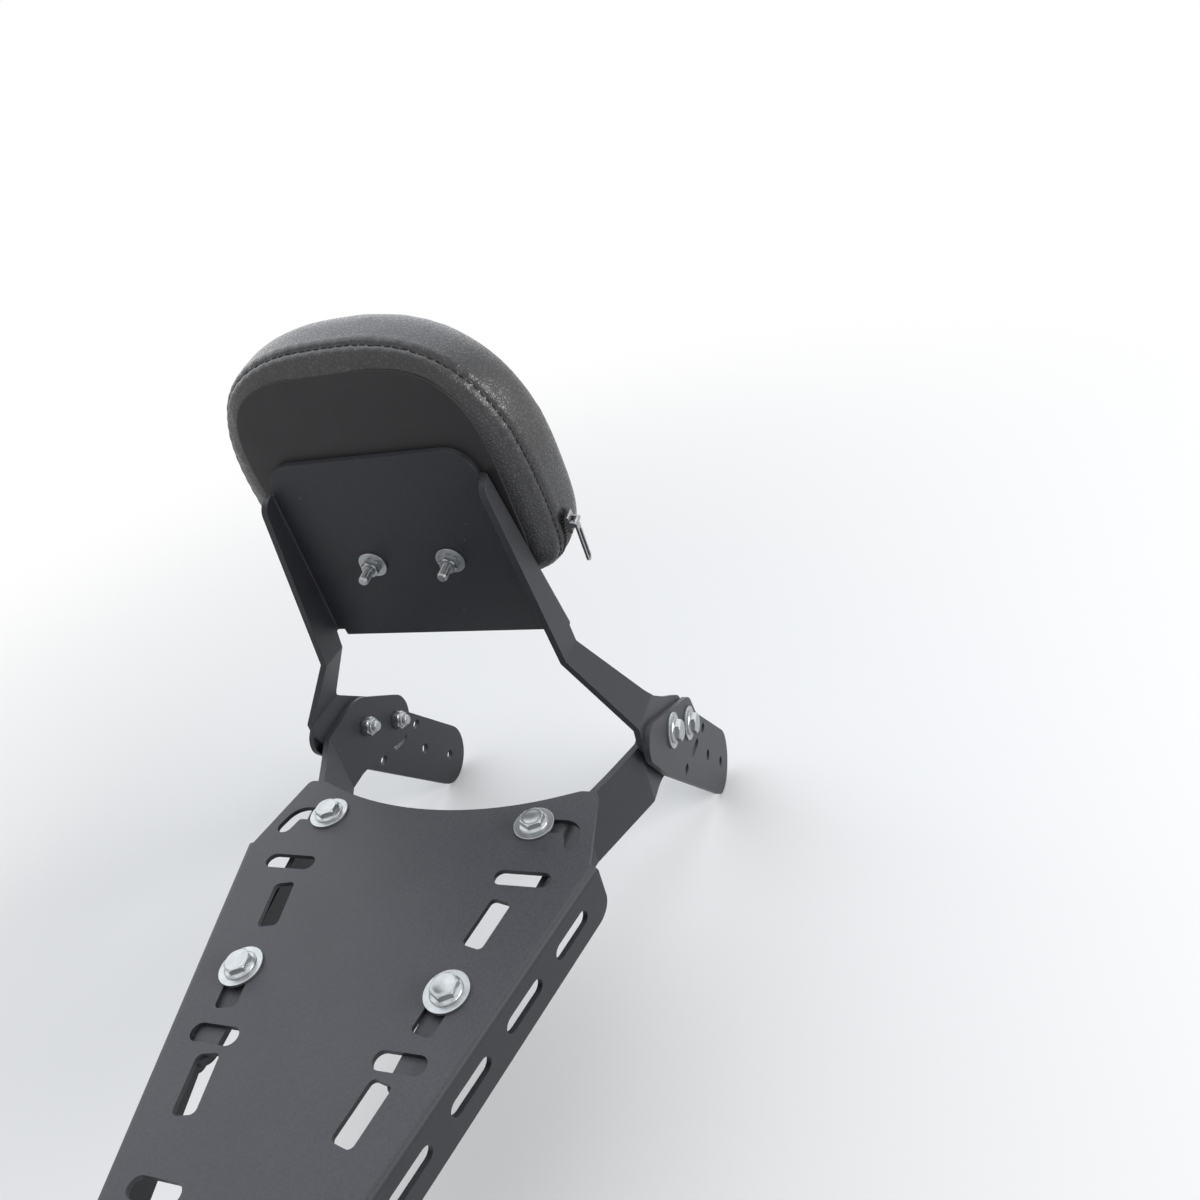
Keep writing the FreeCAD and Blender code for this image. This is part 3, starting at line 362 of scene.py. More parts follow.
def pebble_group():
    """Leather grain: rounded pebbles with creases between them, and fine pores."""
    tree, inlet, outlet = new_group("pebbles", {"Pebble Scale": 620}, ["Height", "Crease"])
    place = add(tree, "ShaderNodeTexCoord")
    drift = add(tree, "ShaderNodeTexNoise", Scale=240, Detail=2)
    link(tree, place.outputs["Object"], drift.inputs["Vector"])
    shift = add(tree, "ShaderNodeVectorMath", operation="MULTIPLY_ADD")
    shift.inputs[1].default_value = (0.0016, 0.0016, 0.0016)
    link(tree, drift.outputs["Color"], shift.inputs[0])
    link(tree, place.outputs["Object"], shift.inputs[2])
    cells = add(tree, "ShaderNodeTexVoronoi", feature="DISTANCE_TO_EDGE")
    link(tree, shift.outputs["Vector"], cells.inputs["Vector"])
    link(tree, inlet.outputs["Pebble Scale"], cells.inputs["Scale"])
    dome = add(tree, "ShaderNodeMapRange", From_Max=0.32, interpolation_type="SMOOTHSTEP")
    link(tree, cells.outputs["Distance"], dome.inputs["Value"])
    pores = add(tree, "ShaderNodeTexNoise", Scale=3200, Detail=2)
    link(tree, place.outputs["Object"], pores.inputs["Vector"])
    height = add(tree, "ShaderNodeMath", operation="MULTIPLY_ADD")
    height.inputs[1].default_value = 0.08
    link(tree, pores.outputs["Fac"], height.inputs[0])
    link(tree, dome.outputs["Result"], height.inputs[2])
    link(tree, height.outputs["Value"], outlet.inputs["Height"])
    link(tree, dome.outputs["Result"], outlet.inputs["Crease"])
    return tree


blotches = blotch_group()
dust_and_sheen = dust_and_sheen_group()
worn_edges = worn_edge_group()
pebbles = pebble_group()


# Finishes

def powder_coat():
    """Fine textured black coat on the sheet steel, a little dusty, with a painted bluish sheen on
    faces that look up, and rubbed at its edges.
    """
    material, tree, shader = new_material("powder_coat", Specular_IOR_Level=0.36)
    tone = place_group(tree, blotches, Patch_Scale=12, Grain_Scale=1100)
    dusty_sheen = place_group(tree, dust_and_sheen, Spacing_Scale=70, Radius=0.03)
    rubbed = place_group(tree, worn_edges, Reach=0.0007)
    uneven = raised(tree, tone.outputs["Grain"], tone.outputs["Patches"], 0.25)
    marked = raised(tree, uneven, dusty_sheen.outputs["Specks"], 0.4)
    lifted = raised(tree, marked, rubbed.outputs["Worn"], 0.4)
    # Painted sky sheen with dust: a pale bluish colour mixed in on faces that look up, patchy with
    # the grain.
    sheen_mix = add(tree, "ShaderNodeMixRGB", Color2=(0.085, 0.088, 0.1, 1))
    ramp = shade(tree, lifted, sheen_mix.inputs["Color1"], (0.012, 0.0125, 0.016), (0.11, 0.11, 0.12))
    ramp.color_ramp.elements[0].position = 0.35
    middle = ramp.color_ramp.elements.new(0.85)
    middle.color = (0.03, 0.031, 0.038, 1)
    patchy_sheen = add(tree, "ShaderNodeMath", operation="MULTIPLY")
    link(tree, dusty_sheen.outputs["Sheen Film"], patchy_sheen.inputs[0])
    spread(tree, tone.outputs["Grain"], patchy_sheen.inputs[1], 0.15, 1.35)
    link(tree, patchy_sheen.outputs["Value"], sheen_mix.inputs["Fac"])
    link(tree, sheen_mix.outputs["Color"], shader.inputs["Base Color"])
    spread(tree, tone.outputs["Grain"], shader.inputs["Roughness"], 0.36, 0.62)
    emboss(tree, shader, tone.outputs["Grain"], 0.25, 0.1)
    return material


def plated(name, dark, light, smooth, rough, patch_scale):
    """Bright metal plating with slight clouding, polished where its edges are handled."""
    material, tree, shader = new_material(name, Metallic=1)
    tone = place_group(tree, blotches, Patch_Scale=patch_scale, Grain_Scale=patch_scale * 10)
    handled = place_group(tree, worn_edges, Reach=0.0003)
    clouded = raised(tree, tone.outputs["Patches"], handled.outputs["Worn"], 0.3)
    shade(tree, clouded, shader.inputs["Base Color"], dark, light)
    spread(tree, clouded, shader.inputs["Roughness"], rough, smooth)
    emboss(tree, shader, tone.outputs["Grain"], 0.2, 0.03)
    return material


def faux_leather():
    """Grained black cover of the pad, lightened on faces that look up by a painted sheen and dust.
    """
    material, tree, shader = new_material("faux_leather", Specular_IOR_Level=0.62)
    grain = place_group(tree, pebbles, Pebble_Scale=480)
    tone = place_group(tree, blotches, Patch_Scale=22, Grain_Scale=1500)
    dusty_sheen = place_group(tree, dust_and_sheen, Spacing_Scale=60, Radius=0.02)
    blend = add(tree, "ShaderNodeMath", operation="MULTIPLY")
    link(tree, grain.outputs["Height"], blend.inputs[0])
    link(tree, tone.outputs["Patches"], blend.inputs[1])
    marked = raised(tree, blend.outputs["Value"], dusty_sheen.outputs["Specks"], 0.6)
    # Painted sheen with dust: the film lightens the cover's faces that look up, as the sky's light
    # would.
    shade(tree, raised(tree, marked, dusty_sheen.outputs["Sheen Film"], 0.9), shader.inputs["Base Color"],
          (0.012, 0.012, 0.013), (0.066, 0.067, 0.074))
    spread(tree, grain.outputs["Height"], shader.inputs["Roughness"], 0.45, 0.27)
    emboss(tree, shader, grain.outputs["Height"], 0.45, 0.2)
    return material


def plain_finish(name, dark, light, rough, grain_scale, depth, **constants):
    """Matte finish with a fine grain: the pad's smooth back, small cloth and plastic pieces."""
    material, tree, shader = new_material(name, **constants)
    tone = place_group(tree, blotches, Patch_Scale=60, Grain_Scale=grain_scale)
    shade(tree, tone.outputs["Grain"], shader.inputs["Base Color"], dark, light)
    spread(tree, tone.outputs["Patches"], shader.inputs["Roughness"], rough - 0.1, rough + 0.1)
    emboss(tree, shader, tone.outputs["Grain"], 0.5, depth)
    return material


def plywood():
    """Edge and face of the base board, with stretched growth lines."""
    material, tree, shader = new_material("plywood")
    place = add(tree, "ShaderNodeTexCoord")
    stretch = add(tree, "ShaderNodeMapping")
    stretch.inputs["Scale"].default_value = (12, 160, 160)
    link(tree, place.outputs["Object"], stretch.inputs["Vector"])
    lines = add(tree, "ShaderNodeTexNoise", Scale=3, Detail=6)
    link(tree, stretch.outputs["Vector"], lines.inputs["Vector"])
    shade(tree, lines.outputs["Fac"], shader.inputs["Base Color"],
          (0.2, 0.12, 0.06), (0.5, 0.34, 0.19))
    spread(tree, lines.outputs["Fac"], shader.inputs["Roughness"], 0.55, 0.75)
    emboss(tree, shader, lines.outputs["Fac"], 0.4, 0.2)
    return material


finishes = {
    "powder_coat": powder_coat(),
    "zinc_steel": plated("zinc", (0.3, 0.32, 0.335), (0.5, 0.515, 0.52), 0.26, 0.46, 220),
    "zip_metal": plated("dark_nickel", (0.26, 0.26, 0.27), (0.46, 0.46, 0.47), 0.2, 0.36, 300),
    "cover": faux_leather(),
    "board": plywood(),
}
back_finish = plain_finish("stretched_cover", (0.01, 0.01, 0.011), (0.022, 0.022, 0.024),
                           0.52, 1400, 0.04, Specular_IOR_Level=0.4)
thread_finish = plain_finish("sewing_thread", (0.006, 0.006, 0.006), (0.02, 0.02, 0.021),
                             0.7, 4000, 0.05)
tape_finish = plain_finish("zip_tape", (0.008, 0.008, 0.008), (0.022, 0.022, 0.023),
                           0.85, 2600, 0.15)
tooth_finish = plain_finish("zip_teeth", (0.012, 0.012, 0.012), (0.03, 0.03, 0.03),
                            0.4, 2600, 0.02)
nylon_finish = plain_finish("lock_ring", (0.5, 0.52, 0.55), (0.66, 0.68, 0.7), 0.5, 2000, 0.02)


# Mesh helpers

def new_piece(name, mesh, *materials, slot, stands_for=()):
    """Adds a mesh to the scene as a piece of the object that rides on its frame."""
    piece = bpy.data.objects.new(name, mesh)
    bpy.context.scene.collection.objects.link(piece)
    for material in materials:
        mesh.materials.append(material)
    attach(piece, "frame")
    if stands_for:
        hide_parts(*stands_for)
    return piece


def smooth_faces(mesh, sharp_degrees=None):
    """Smooth shading, broken at edges sharper than an angle where one is given."""
    mesh.polygons.foreach_set("use_smooth", [True] * len(mesh.polygons))
    if sharp_degrees is not None:
        mesh.set_sharp_from_angle(angle=math.radians(sharp_degrees))


def finished_mesh(piece):
    """Mesh of a piece with its modifiers applied."""
    graph = bpy.context.evaluated_depsgraph_get()
    return bpy.data.meshes.new_from_object(piece.evaluated_get(graph), depsgraph=graph)


def bridge_rings(shape, rings, loop=False, material_of=None):
    """Joins closed rings of vertices with faces; a loop's last ring meets its first."""
    pairs = list(zip(rings, rings[1:]))
    if loop:
        pairs.append((rings[-1], rings[0]))
    for number, (near, far) in enumerate(pairs):
        count = len(near)
        for i in range(count):
            j = (i + 1) % count
            face = shape.faces.new((near[i], near[j], far[j], far[i]))
            if material_of:
                face.material_index = material_of(number)


def to_mesh(shape, name):
    """Mesh of a finished shape with its faces turned outward."""
    bmesh.ops.recalc_face_normals(shape, faces=shape.faces)
    mesh = bpy.data.meshes.new(name)
    shape.to_mesh(mesh)
    shape.free()
    return mesh


# Fasteners

def islands(node):
    """Vertices of each loose solid of a CAD node."""
    shape = bmesh.new()
    shape.from_mesh(frame["nodes"][node].data)
    bmesh.ops.remove_doubles(shape, verts=shape.verts, dist=WELD_REACH)
    left = set(shape.verts)
    groups = []
    while left:
        group = []
        front = [left.pop()]
        while front:
            vertex = front.pop()
            group.append(vertex.co.copy())
            for edge in vertex.link_edges:
                other = edge.other_vert(vertex)
                if other in left:
                    left.remove(other)
                    front.append(other)
        groups.append(group)
    shape.free()
    return groups


def seats(node, outward):
    """Placements on the outer end of each solid of a node, +Z along outward(middle)."""
    found = []
    for points in islands(node):
        axis = outward(sum(points, Vector()) / len(points))
        turn = Vector((0, 0, 1)).rotation_difference(axis).to_matrix()
        local = [turn.transposed() @ point for point in points]
        low = [min(point[k] for point in local) for k in range(3)]
        high = [max(point[k] for point in local) for k in range(3)]
        seat = turn @ Vector(((low[0] + high[0]) / 2, (low[1] + high[1]) / 2, high[2]))
        found.append(Matrix.Translation(seat) @ turn.to_4x4())
    return found


def hexagon_radius(angle, flats):
    """Distance from a hexagon's middle to its side at an angle."""
    sixth = math.pi / 3
    return flats / 2 / math.cos((angle + sixth / 2) % sixth - sixth / 2)


def turned_copies(name, places, rings, segments=96, loop=False, material_of=None):
    """Mesh of equal turned pieces; each ring gives its height and its radius at an angle, in mm."""
    shape = bmesh.new()
    for place in places:
        loops = []
        for height, radius in rings:
            verts = []
            for i in range(segments):
                angle = 2 * math.pi * i / segments
                reach = radius(angle)
                point = Vector((reach * math.cos(angle), reach * math.sin(angle), height)) * MM
                verts.append(shape.verts.new(place @ point))
            loops.append(verts)
        bridge_rings(shape, loops, loop=loop, material_of=material_of)
        if not loop:
            shape.faces.new(loops[0])
            shape.faces.new(loops[-1])
    mesh = to_mesh(shape, name)
    smooth_faces(mesh, SHARP_METAL)
    return mesh


def plain(radius):
    """Round ring."""
    return lambda angle: radius


def hexagon(flats, limit):
    """Hexagon whose corners a turning tool has cut back to a limit."""
    return lambda angle: min(hexagon_radius(angle, flats), limit)


def thread_rings(radius, pitch, start, end, steps=10):
    """Rings of a screw thread from one height to another, with a bevelled end."""
    depth = THREAD_DEPTH * pitch
    rings = []
    count = max(2, round(abs(end - start) / pitch * steps))
    for step in range(count + 1):
        height = between(start, end, step / count)
        taper = max(0, 1 - abs(end - height) / pitch) * depth

        def reach(angle, height=height, taper=taper):
            wave = (height / pitch - angle / (2 * math.pi)) % 1
            groove = min(1, max(0, 1.5 - abs(wave - 0.5) * 4.4))
            return min(radius - depth * groove, radius - taper)

        rings.append((height, reach))
    return rings


def bolts(name, washers, outward, length):
    """Flanged hexagon bolts: heads on their washers, shanks with a threaded end."""
    flats = M8_FLATS
    head = [
        (0, plain(8.6)),
        (0.7, plain(8.6)),
        (1.2, plain(8.2)),
        (1.8, hexagon(flats, 7.6)),
        (4.55, hexagon(flats, 7.6)),
        (4.8, hexagon(flats, 7.2)),
        (5.1, hexagon(flats, 6.7)),
        (5.4, hexagon(flats, 6.15)),
        (5.4, plain(4.6)),
        (5.2, plain(4.2)),
        (5.2, plain(0.4)),
    ]
    shank = [(-0.02, plain(M8_RADIUS)), (BOLT_THREAD - length, plain(M8_RADIUS))]
    thread = thread_rings(M8_RADIUS, M8_PITCH, BOLT_THREAD - length - 0.05, -length)
    rings = thread[::-1] + shank[::-1] + head
    mesh = turned_copies(name, seats(washers, outward), rings, segments=72)
    new_piece(name + "_threaded", mesh, finishes["zinc_steel"], slot="zinc_steel",
              stands_for=[name])


def lock_nuts(name, outward):
    """Hexagon lock nuts with a round collar and a plastic ring in it."""
    flats = M8_FLATS
    rings = [
        (0, plain(4.1)),
        (0, hexagon(flats, 6.4)),
        (0.5, hexagon(flats, 7.3)),
        (5.3, hexagon(flats, 7.3)),
        (5.9, hexagon(flats, 6.5)),
        (6.0, plain(5.75)),
        (7.4, plain(5.6)),
        (7.9, plain(5.2)),
        (LOCK_NUT_HEIGHT, plain(4.8)),
        (7.7, plain(4.6)),
        (7.5, plain(4.1)),
        (6.6, plain(4.08)),
    ]
    nylon_rings = (9, 10)
    foot = Matrix.Translation((0, 0, -LOCK_NUT_HEIGHT * MM))
    places = [seat @ foot for seat in seats(name, outward)]
    mesh = turned_copies(name, places, rings, loop=True,
                         material_of=lambda number: int(number in nylon_rings))
    new_piece(name + "_detailed", mesh, finishes["zinc_steel"], nylon_finish, slot="zinc_steel",
              stands_for=[name])


def stud_nuts():
    """Plain hexagon nuts on the pad's studs."""
    flats = M6_FLATS
    height = STUD_NUT_HEIGHT
    rings = [
        (0, plain(3.1)),
        (0, hexagon(flats, 4.9)),
        (0.4, hexagon(flats, 5.65)),
        (height - 0.4, hexagon(flats, 5.65)),
        (height, hexagon(flats, 4.9)),
        (height, plain(3.5)),
        (height - 0.4, plain(3.1)),
    ]
    foot = Matrix.Translation((0, 0, -height * MM))
    places = [seat @ foot for seat in seats("pad_nuts", rearward)]
    mesh = turned_copies("pad_nuts", places, rings, loop=True)
    new_piece("pad_nuts_detailed", mesh, finishes["zinc_steel"], slot="zinc_steel",
              stands_for=["pad_nuts"])


def studs():
    """Threaded studs that stand out behind the nuts."""
    low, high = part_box("pad_studs")
    length = (high - low).y / math.cos(LEAN) / MM - 2 * M6_RADIUS * math.tan(LEAN)
    shank = [(-length, plain(STUD_SHANK_RADIUS)), (-STUD_THREAD, plain(STUD_SHANK_RADIUS))]
    rings = shank + thread_rings(M6_RADIUS, M6_PITCH, 0.1 - STUD_THREAD, 0)
    mesh = turned_copies("pad_studs", seats("pad_studs", rearward), rings, segments=48)
    new_piece("pad_studs_threaded", mesh, finishes["zinc_steel"], slot="zinc_steel",
              stands_for=["pad_studs"])


# Directions that fasteners face, from the middle of each

def sideways(middle):
    return Vector((math.copysign(1, middle.x), 0, 0))


def inward(middle):
    return -sideways(middle)


def upward(middle):
    return Vector((0, 0, 1))


def downward(middle):
    return Vector((0, 0, -1))


def rearward(middle):
    return -FORWARD


# Pad

def rim_point(section, turn):
    """Place across and up on a section of the pad, at a turn about its middle."""
    half, top, bottom, crown, foot = section[1:]
    cosine = math.cos(turn)
    sine = math.sin(turn)
    power = 2 / (crown if sine > 0 else foot)
    reach = top - PAD_MIDDLE if sine > 0 else PAD_MIDDLE - bottom
    across = half * math.copysign(abs(cosine) ** power, cosine)
    up = PAD_MIDDLE + reach * math.copysign(abs(sine) ** power, sine)
    return across, up


def section_at(forward):
    """Section of the pad at a distance in front of the upright's rear face."""
    for near, far in zip(PAD_SECTIONS, PAD_SECTIONS[1:]):
        if near[0] <= forward <= far[0] and far[0] > near[0]:
            share = (forward - near[0]) / (far[0] - near[0])
            return tuple(between(low, high, share) for low, high in zip(near, far))
    raise ValueError(f"the pad has no section at {forward}")


def seam_forward(up):
    """Depth of the cover's seam: near the back above, a little further forward behind the zip."""
    return between(SEAM_LOW_FORWARD, SEAM_FORWARD, eased((up - ZIP_TOP) / SEAM_CHANGE))


def zip_forward(up):
    """Depth of the zip, the same at every height."""
    return ZIP_FORWARD


def rim_line(depth_at):
    """Closed line round the pad, at a depth that depends on the height."""
    line = []
    for step in range(RIM_STEPS + 1):
        turn = 2 * math.pi * step / RIM_STEPS
        forward = ZIP_FORWARD
        for trial in range(4):
            across, up = rim_point(section_at(forward), turn)
            forward = depth_at(up)
        line.append(on_upright(across, up, forward))
    return line


def resampled(points, spacing):
    """Points evenly spaced along a line, about a spacing apart."""
    lengths = [(b - a).length for a, b in zip(points, points[1:])]
    total = sum(lengths)
    count = max(1, round(total / spacing))
    result = []
    index = 0
    passed = 0
    for step in range(count + 1):
        goal = total * step / count
        while index < len(lengths) - 1 and passed + lengths[index] < goal:
            passed += lengths[index]
            index += 1
        result.append(points[index].lerp(points[index + 1], (goal - passed) / lengths[index]))
    return result


def forward_of(point):
    """Millimetres in front of the upright's rear face."""
    return (point - STUDS).dot(FORWARD) / MM


def up_of(point):
    """Millimetres above the studs along the upright."""
    return (point - STUDS).dot(UP) / MM


def pad_form():
    """Closed form of the pad from its sections, remeshed evenly."""
    shape = bmesh.new()
    rings = []
    for section in PAD_SECTIONS:
        ring = []
        for i in range(PAD_RING_POINTS):
            across, up = rim_point(section, 2 * math.pi * i / PAD_RING_POINTS)
            ring.append(shape.verts.new(on_upright(across, up, section[0])))
        rings.append(ring)
    bridge_rings(shape, rings)
    shape.faces.new(rings[0])
    shape.faces.new(rings[-1])
    bmesh.ops.triangulate(shape, faces=[face for face in shape.faces if len(face.verts) > 4])
    piece = bpy.data.objects.new("pad_form", to_mesh(shape, "pad_form"))
    bpy.context.scene.collection.objects.link(piece)
    remesh = piece.modifiers.new("even", "REMESH")
    remesh.mode = "VOXEL"
    remesh.voxel_size = PAD_VOXEL * MM
    evener = piece.modifiers.new("evener", "SMOOTH")
    evener.factor = 0.5
    evener.iterations = 4
    mesh = finished_mesh(piece)
    bpy.data.objects.remove(piece)
    return mesh


def swell(mesh, seam):
    """Swells the cover over its foam with a short cloth run; its flat back and its seam hold."""
    piece = bpy.data.objects.new("pad_swelling", mesh)
    bpy.context.scene.collection.objects.link(piece)
    held = piece.vertex_groups.new(name="held")
    for vertex in mesh.vertices:
        on_back = forward_of(vertex.co) < PAD_SECTIONS[0][0] + BACK_HOLD
        gap = seam.find(vertex.co)[2] / MM
        weight = 1 if on_back else max(0, 1 - gap / SEAM_HOLD)
        held.add([vertex.index], weight, "REPLACE")
    before = [vertex.co.copy() for vertex in mesh.vertices]
    cloth = piece.modifiers.new("cover", "CLOTH")
    cloth.settings.quality = 6
    cloth.settings.mass = 0.2
    cloth.settings.tension_stiffness = 15
    cloth.settings.compression_stiffness = 15
    cloth.settings.bending_stiffness = 0.5
    cloth.settings.use_pressure = True
    cloth.settings.uniform_pressure_force = 4
    cloth.settings.vertex_group_mass = "held"
    cloth.settings.effector_weights.gravity = 0
    cloth.point_cache.frame_end = SWELL_FRAMES
    for number in range(1, SWELL_FRAMES + 1):
        bpy.context.scene.frame_set(number)
    swollen = finished_mesh(piece)
    bpy.context.scene.frame_set(1)
    bpy.data.objects.remove(piece)
    reach = PAD_SWELL * MM
    moves = []
    for vertex, start in zip(swollen.vertices, before):
        move = vertex.co - start
        moves.append(move * min(1, reach / max(move.length, 1e-9)))
    moves = evened(swollen, moves, EVENING_ROUNDS)
    for vertex, start, move in zip(swollen.vertices, before, moves):
        vertex.co = start + move
    return swollen


def evened(mesh, moves, rounds):
    """Evens out the moves of a mesh's vertices, as thick foam under a cover does."""
    neighbours = [[] for vertex in mesh.vertices]
    for edge in mesh.edges:
        first, second = edge.vertices
        neighbours[first].append(second)
        neighbours[second].append(first)
    for number in range(rounds):
        moves = [(move + sum((moves[k] for k in near), Vector())) / (len(near) + 1)
                 for move, near in zip(moves, neighbours)]
    return moves


def divided(mesh):
    """The mesh made fine enough for its seam."""
    piece = bpy.data.objects.new("pad_dividing", mesh)
    bpy.context.scene.collection.objects.link(piece)
    piece.modifiers.new("finer", "SUBSURF").levels = 2
    result = finished_mesh(piece)
    bpy.data.objects.remove(piece)
    return result


def tree_of(points):
    """Search tree that finds the nearest of some points."""
    tree = KDTree(len(points))
    for index, point in enumerate(points):
        tree.insert(point, index)
    tree.balance()
    return tree


def sew(mesh, seam, chain):
    """Draws the cover in along its seam, with small puckers, and sinks the bed of the zip."""
    moves = []
    for vertex in mesh.vertices:
        _, index, gap = seam.find(vertex.co)
        gap /= MM
        groove = -GROOVE_DEPTH * math.exp(-(gap / GROOVE_WIDTH) ** 2)
        wave = math.sin(2 * math.pi * index / PUCKER_SPACING)
        pucker = PUCKER_HEIGHT * wave * math.exp(-(gap / PUCKER_REACH) ** 2)
        roll = ROLL_HEIGHT * math.exp(-((gap - ROLL_PLACE) / ROLL_WIDTH) ** 2)
        zip_gap = chain.find(vertex.co)[2] / MM
        bed = -ZIP_BED_DEPTH * (1 - eased((zip_gap - ZIP_BED_HALF) / ZIP_BED_SLOPE))
        stretched = eased((forward_of(vertex.co) - FLAT_BACK_END) / FLAT_BACK_RUN)
        moves.append(vertex.normal * ((groove + pucker + roll) * stretched + bed) * MM)
    for vertex, move in zip(mesh.vertices, moves):
        vertex.co += move


def surface_of(mesh):
    """Search tree that finds the nearest point of a mesh's faces."""
    return BVHTree.FromPolygons([vertex.co for vertex in mesh.vertices],
                                [polygon.vertices for polygon in mesh.polygons])


def zipped(line):
    """The part of a closed line that the zip follows, below its top stops."""
    return [point for point in line if up_of(point) <= ZIP_TOP]


def sewn(line):
    """A closed line cut open at the pad's bottom."""
    quarter = len(line) // 4
    return line[-quarter:] + line[:-quarter]


def pad_cover():
    """The whole pad with its stitches and its zip."""
    seam_line = resampled(rim_line(seam_forward), LINE_SPACING * MM)
    zip_line = resampled(rim_line(zip_forward), LINE_SPACING * MM)
    mesh = pad_form()
    mesh = swell(mesh, tree_of(seam_line + zipped(zip_line)))
    mesh = divided(mesh)
    surface = surface_of(mesh)
    seam_line = [surface.find_nearest(point)[0] for point in seam_line]
    zip_line = zipped([surface.find_nearest(point)[0] for point in zip_line])
    sew(mesh, tree_of(seam_line), tree_of(zip_line))
    smooth_faces(mesh)
    piece = new_piece("pad_cushion", mesh, finishes["cover"], slot="cover",
                      stands_for=["backrest_pad"])
    surface = surface_of(mesh)
    seam_stitches(path_frames(resampled(sewn(seam_line), STITCH_SPACING * MM), surface))
    zip_strip(path_frames(resampled(zip_line, TOOTH_PITCH * MM), surface))


def back_panel():
    """Smooth cover stretched flat over the middle of the pad's back, a little proud of the rest."""
    shape = bmesh.new()
    middle = (BACK_PANEL[2] + BACK_PANEL[3]) / 2
    rings = []
    for forward, share in BACK_PANEL_RINGS:
        ring = []
        for i in range(BACK_PANEL_POINTS):
            across, up = rim_point(BACK_PANEL, 2 * math.pi * i / BACK_PANEL_POINTS)
            place = on_upright(across * share, between(middle, up, share), forward)
            ring.append(shape.verts.new(place))
        rings.append(ring)
    bridge_rings(shape, rings)
    shape.faces.new(rings[0])
    shape.faces.new(rings[-1])
    mesh = to_mesh(shape, "back_panel_cover")
    smooth_faces(mesh, SHARP_PANEL)
    piece = new_piece("back_panel_cover", mesh, back_finish, slot="back_panel",
                      stands_for=["pad_back_panel"])


def path_frames(points, surface):
    """Place, direction, outward normal and side of each point of a line on the pad's surface."""
    frames = []
    last = len(points) - 1
    for i, point in enumerate(points):
        place, normal = surface.find_nearest(point)[:2]
        along = (points[min(i + 1, last)] - points[max(i - 1, 0)]).normalized()
        side = normal.cross(along).normalized()
        frames.append((place, along, normal, side))
    return frames


def seam_stitches(frames):
    """Row of separate stitches on a line: each a short thread that dips in at both ends."""
    shape = bmesh.new()
    spacing = (frames[1][0] - frames[0][0]).length / MM
    step = max(2, round(STITCH_PITCH / spacing))
    reach = max(1, round(STITCH_LENGTH / spacing))
    for start in range(0, len(frames) - reach, step):
        rings = []
        for k in range(reach + 1):
            place, _, normal, side = frames[start + k]
            rise = STITCH_RISE * math.sin(math.pi * k / reach) - STITCH_SINK
            middle = place + normal * rise * MM
            ring = []
            for i in range(STITCH_SIDES):
                angle = 2 * math.pi * i / STITCH_SIDES
                spoke = side * math.cos(angle) + normal * math.sin(angle)
                ring.append(shape.verts.new(middle + spoke * STITCH_RADIUS * MM))
            rings.append(ring)
        bridge_rings(shape, rings)
        shape.faces.new(rings[0])
        shape.faces.new(rings[-1])
    mesh = to_mesh(shape, "seam_stitches")
    smooth_faces(mesh)
    new_piece("seam_stitches", mesh, thread_finish, slot="cover")


def zip_strip(frames):
    """Zip along the pad's lower edge: two woven tapes and two rows of interlocking teeth."""
    shape = bmesh.new()
    for hand in (1, -1):
        rings = []
        for place, _, normal, side in frames:
            ring = []
            for beside, rise in TAPE_SECTION:
                ring.append(shape.verts.new(place + (side * hand * beside + normal * rise) * MM))
            rings.append(ring)
        bridge_rings(shape, rings)
        shape.faces.new(rings[0])
        shape.faces.new(rings[-1])
    tape_faces = len(shape.faces)
    for number, (place, along, normal, side) in enumerate(frames):
        hand = 1 if number % 2 else -1
        block = []
        for rise, trim in TOOTH_LAYERS:
            half = TOOTH_HALF - trim / TOOTH_END_TRIM
            layer = []
            for near, far in TOOTH_OUTLINE:
                beside = hand * (near + math.copysign(trim, TOOTH_MIDDLE - near))
                layer.append(shape.verts.new(
                    place + (side * beside + along * far * half + normal * rise) * MM))
            block.append(layer)
        bridge_rings(shape, block)
        shape.faces.new(block[0])
        shape.faces.new(block[-1])
    shape.faces.ensure_lookup_table()
    for face in shape.faces[tape_faces:]:
        face.material_index = 1
    mesh = to_mesh(shape, "zip_strip")
    new_piece("zip_strip", mesh, tape_finish, tooth_finish, slot="zip_black",
              stands_for=["zip_chain"])


# Steel sheets and other CAD pieces that keep their shape

def finish_node(name, material, edge):
    """Gives a CAD piece its finish and softens its sharp edges."""
    node = frame["nodes"][name]
    for place in node.material_slots:
        place.material = material
    weld = node.modifiers.new("weld", "WELD")
    weld.merge_threshold = WELD_REACH
    soft = node.modifiers.new("soft_edges", "BEVEL")
    soft.width = edge * MM
    soft.segments = 2
    soft.limit_method = "ANGLE"
    soft.angle_limit = SHARP_FOLD
    soft.use_clamp_overlap = True
    even = node.modifiers.new("even_shading", "WEIGHTED_NORMAL")
    even.keep_sharp = True


# Studio, in metres

FLOOR_SIZE = 40
FLOOR_GAP = 0.0005
FADE_START = 0.25
FADE_END = 1.25
SKY_LIGHT = 0.34
OVERHEAD_PLACE = (-0.75, 0.9, 1.6)
SIDE_PLACE = (2.4, -0.1, 0.95)
LIT_POINT = Vector((0.05, -0.2, 0.1))


def seen_directly(tree):
    """1 for what the camera, a reflection or a see-through piece shows, 0 for what gives light."""
    path = add(tree, "ShaderNodeLightPath")
    shown = path.outputs["Is Camera Ray"]
    for label in ("Is Glossy Ray", "Is Transmission Ray"):
        either = add(tree, "ShaderNodeMath", operation="MAXIMUM")
        link(tree, shown, either.inputs[0])
        link(tree, path.outputs[label], either.inputs[1])
        shown = either.outputs["Value"]
    return shown


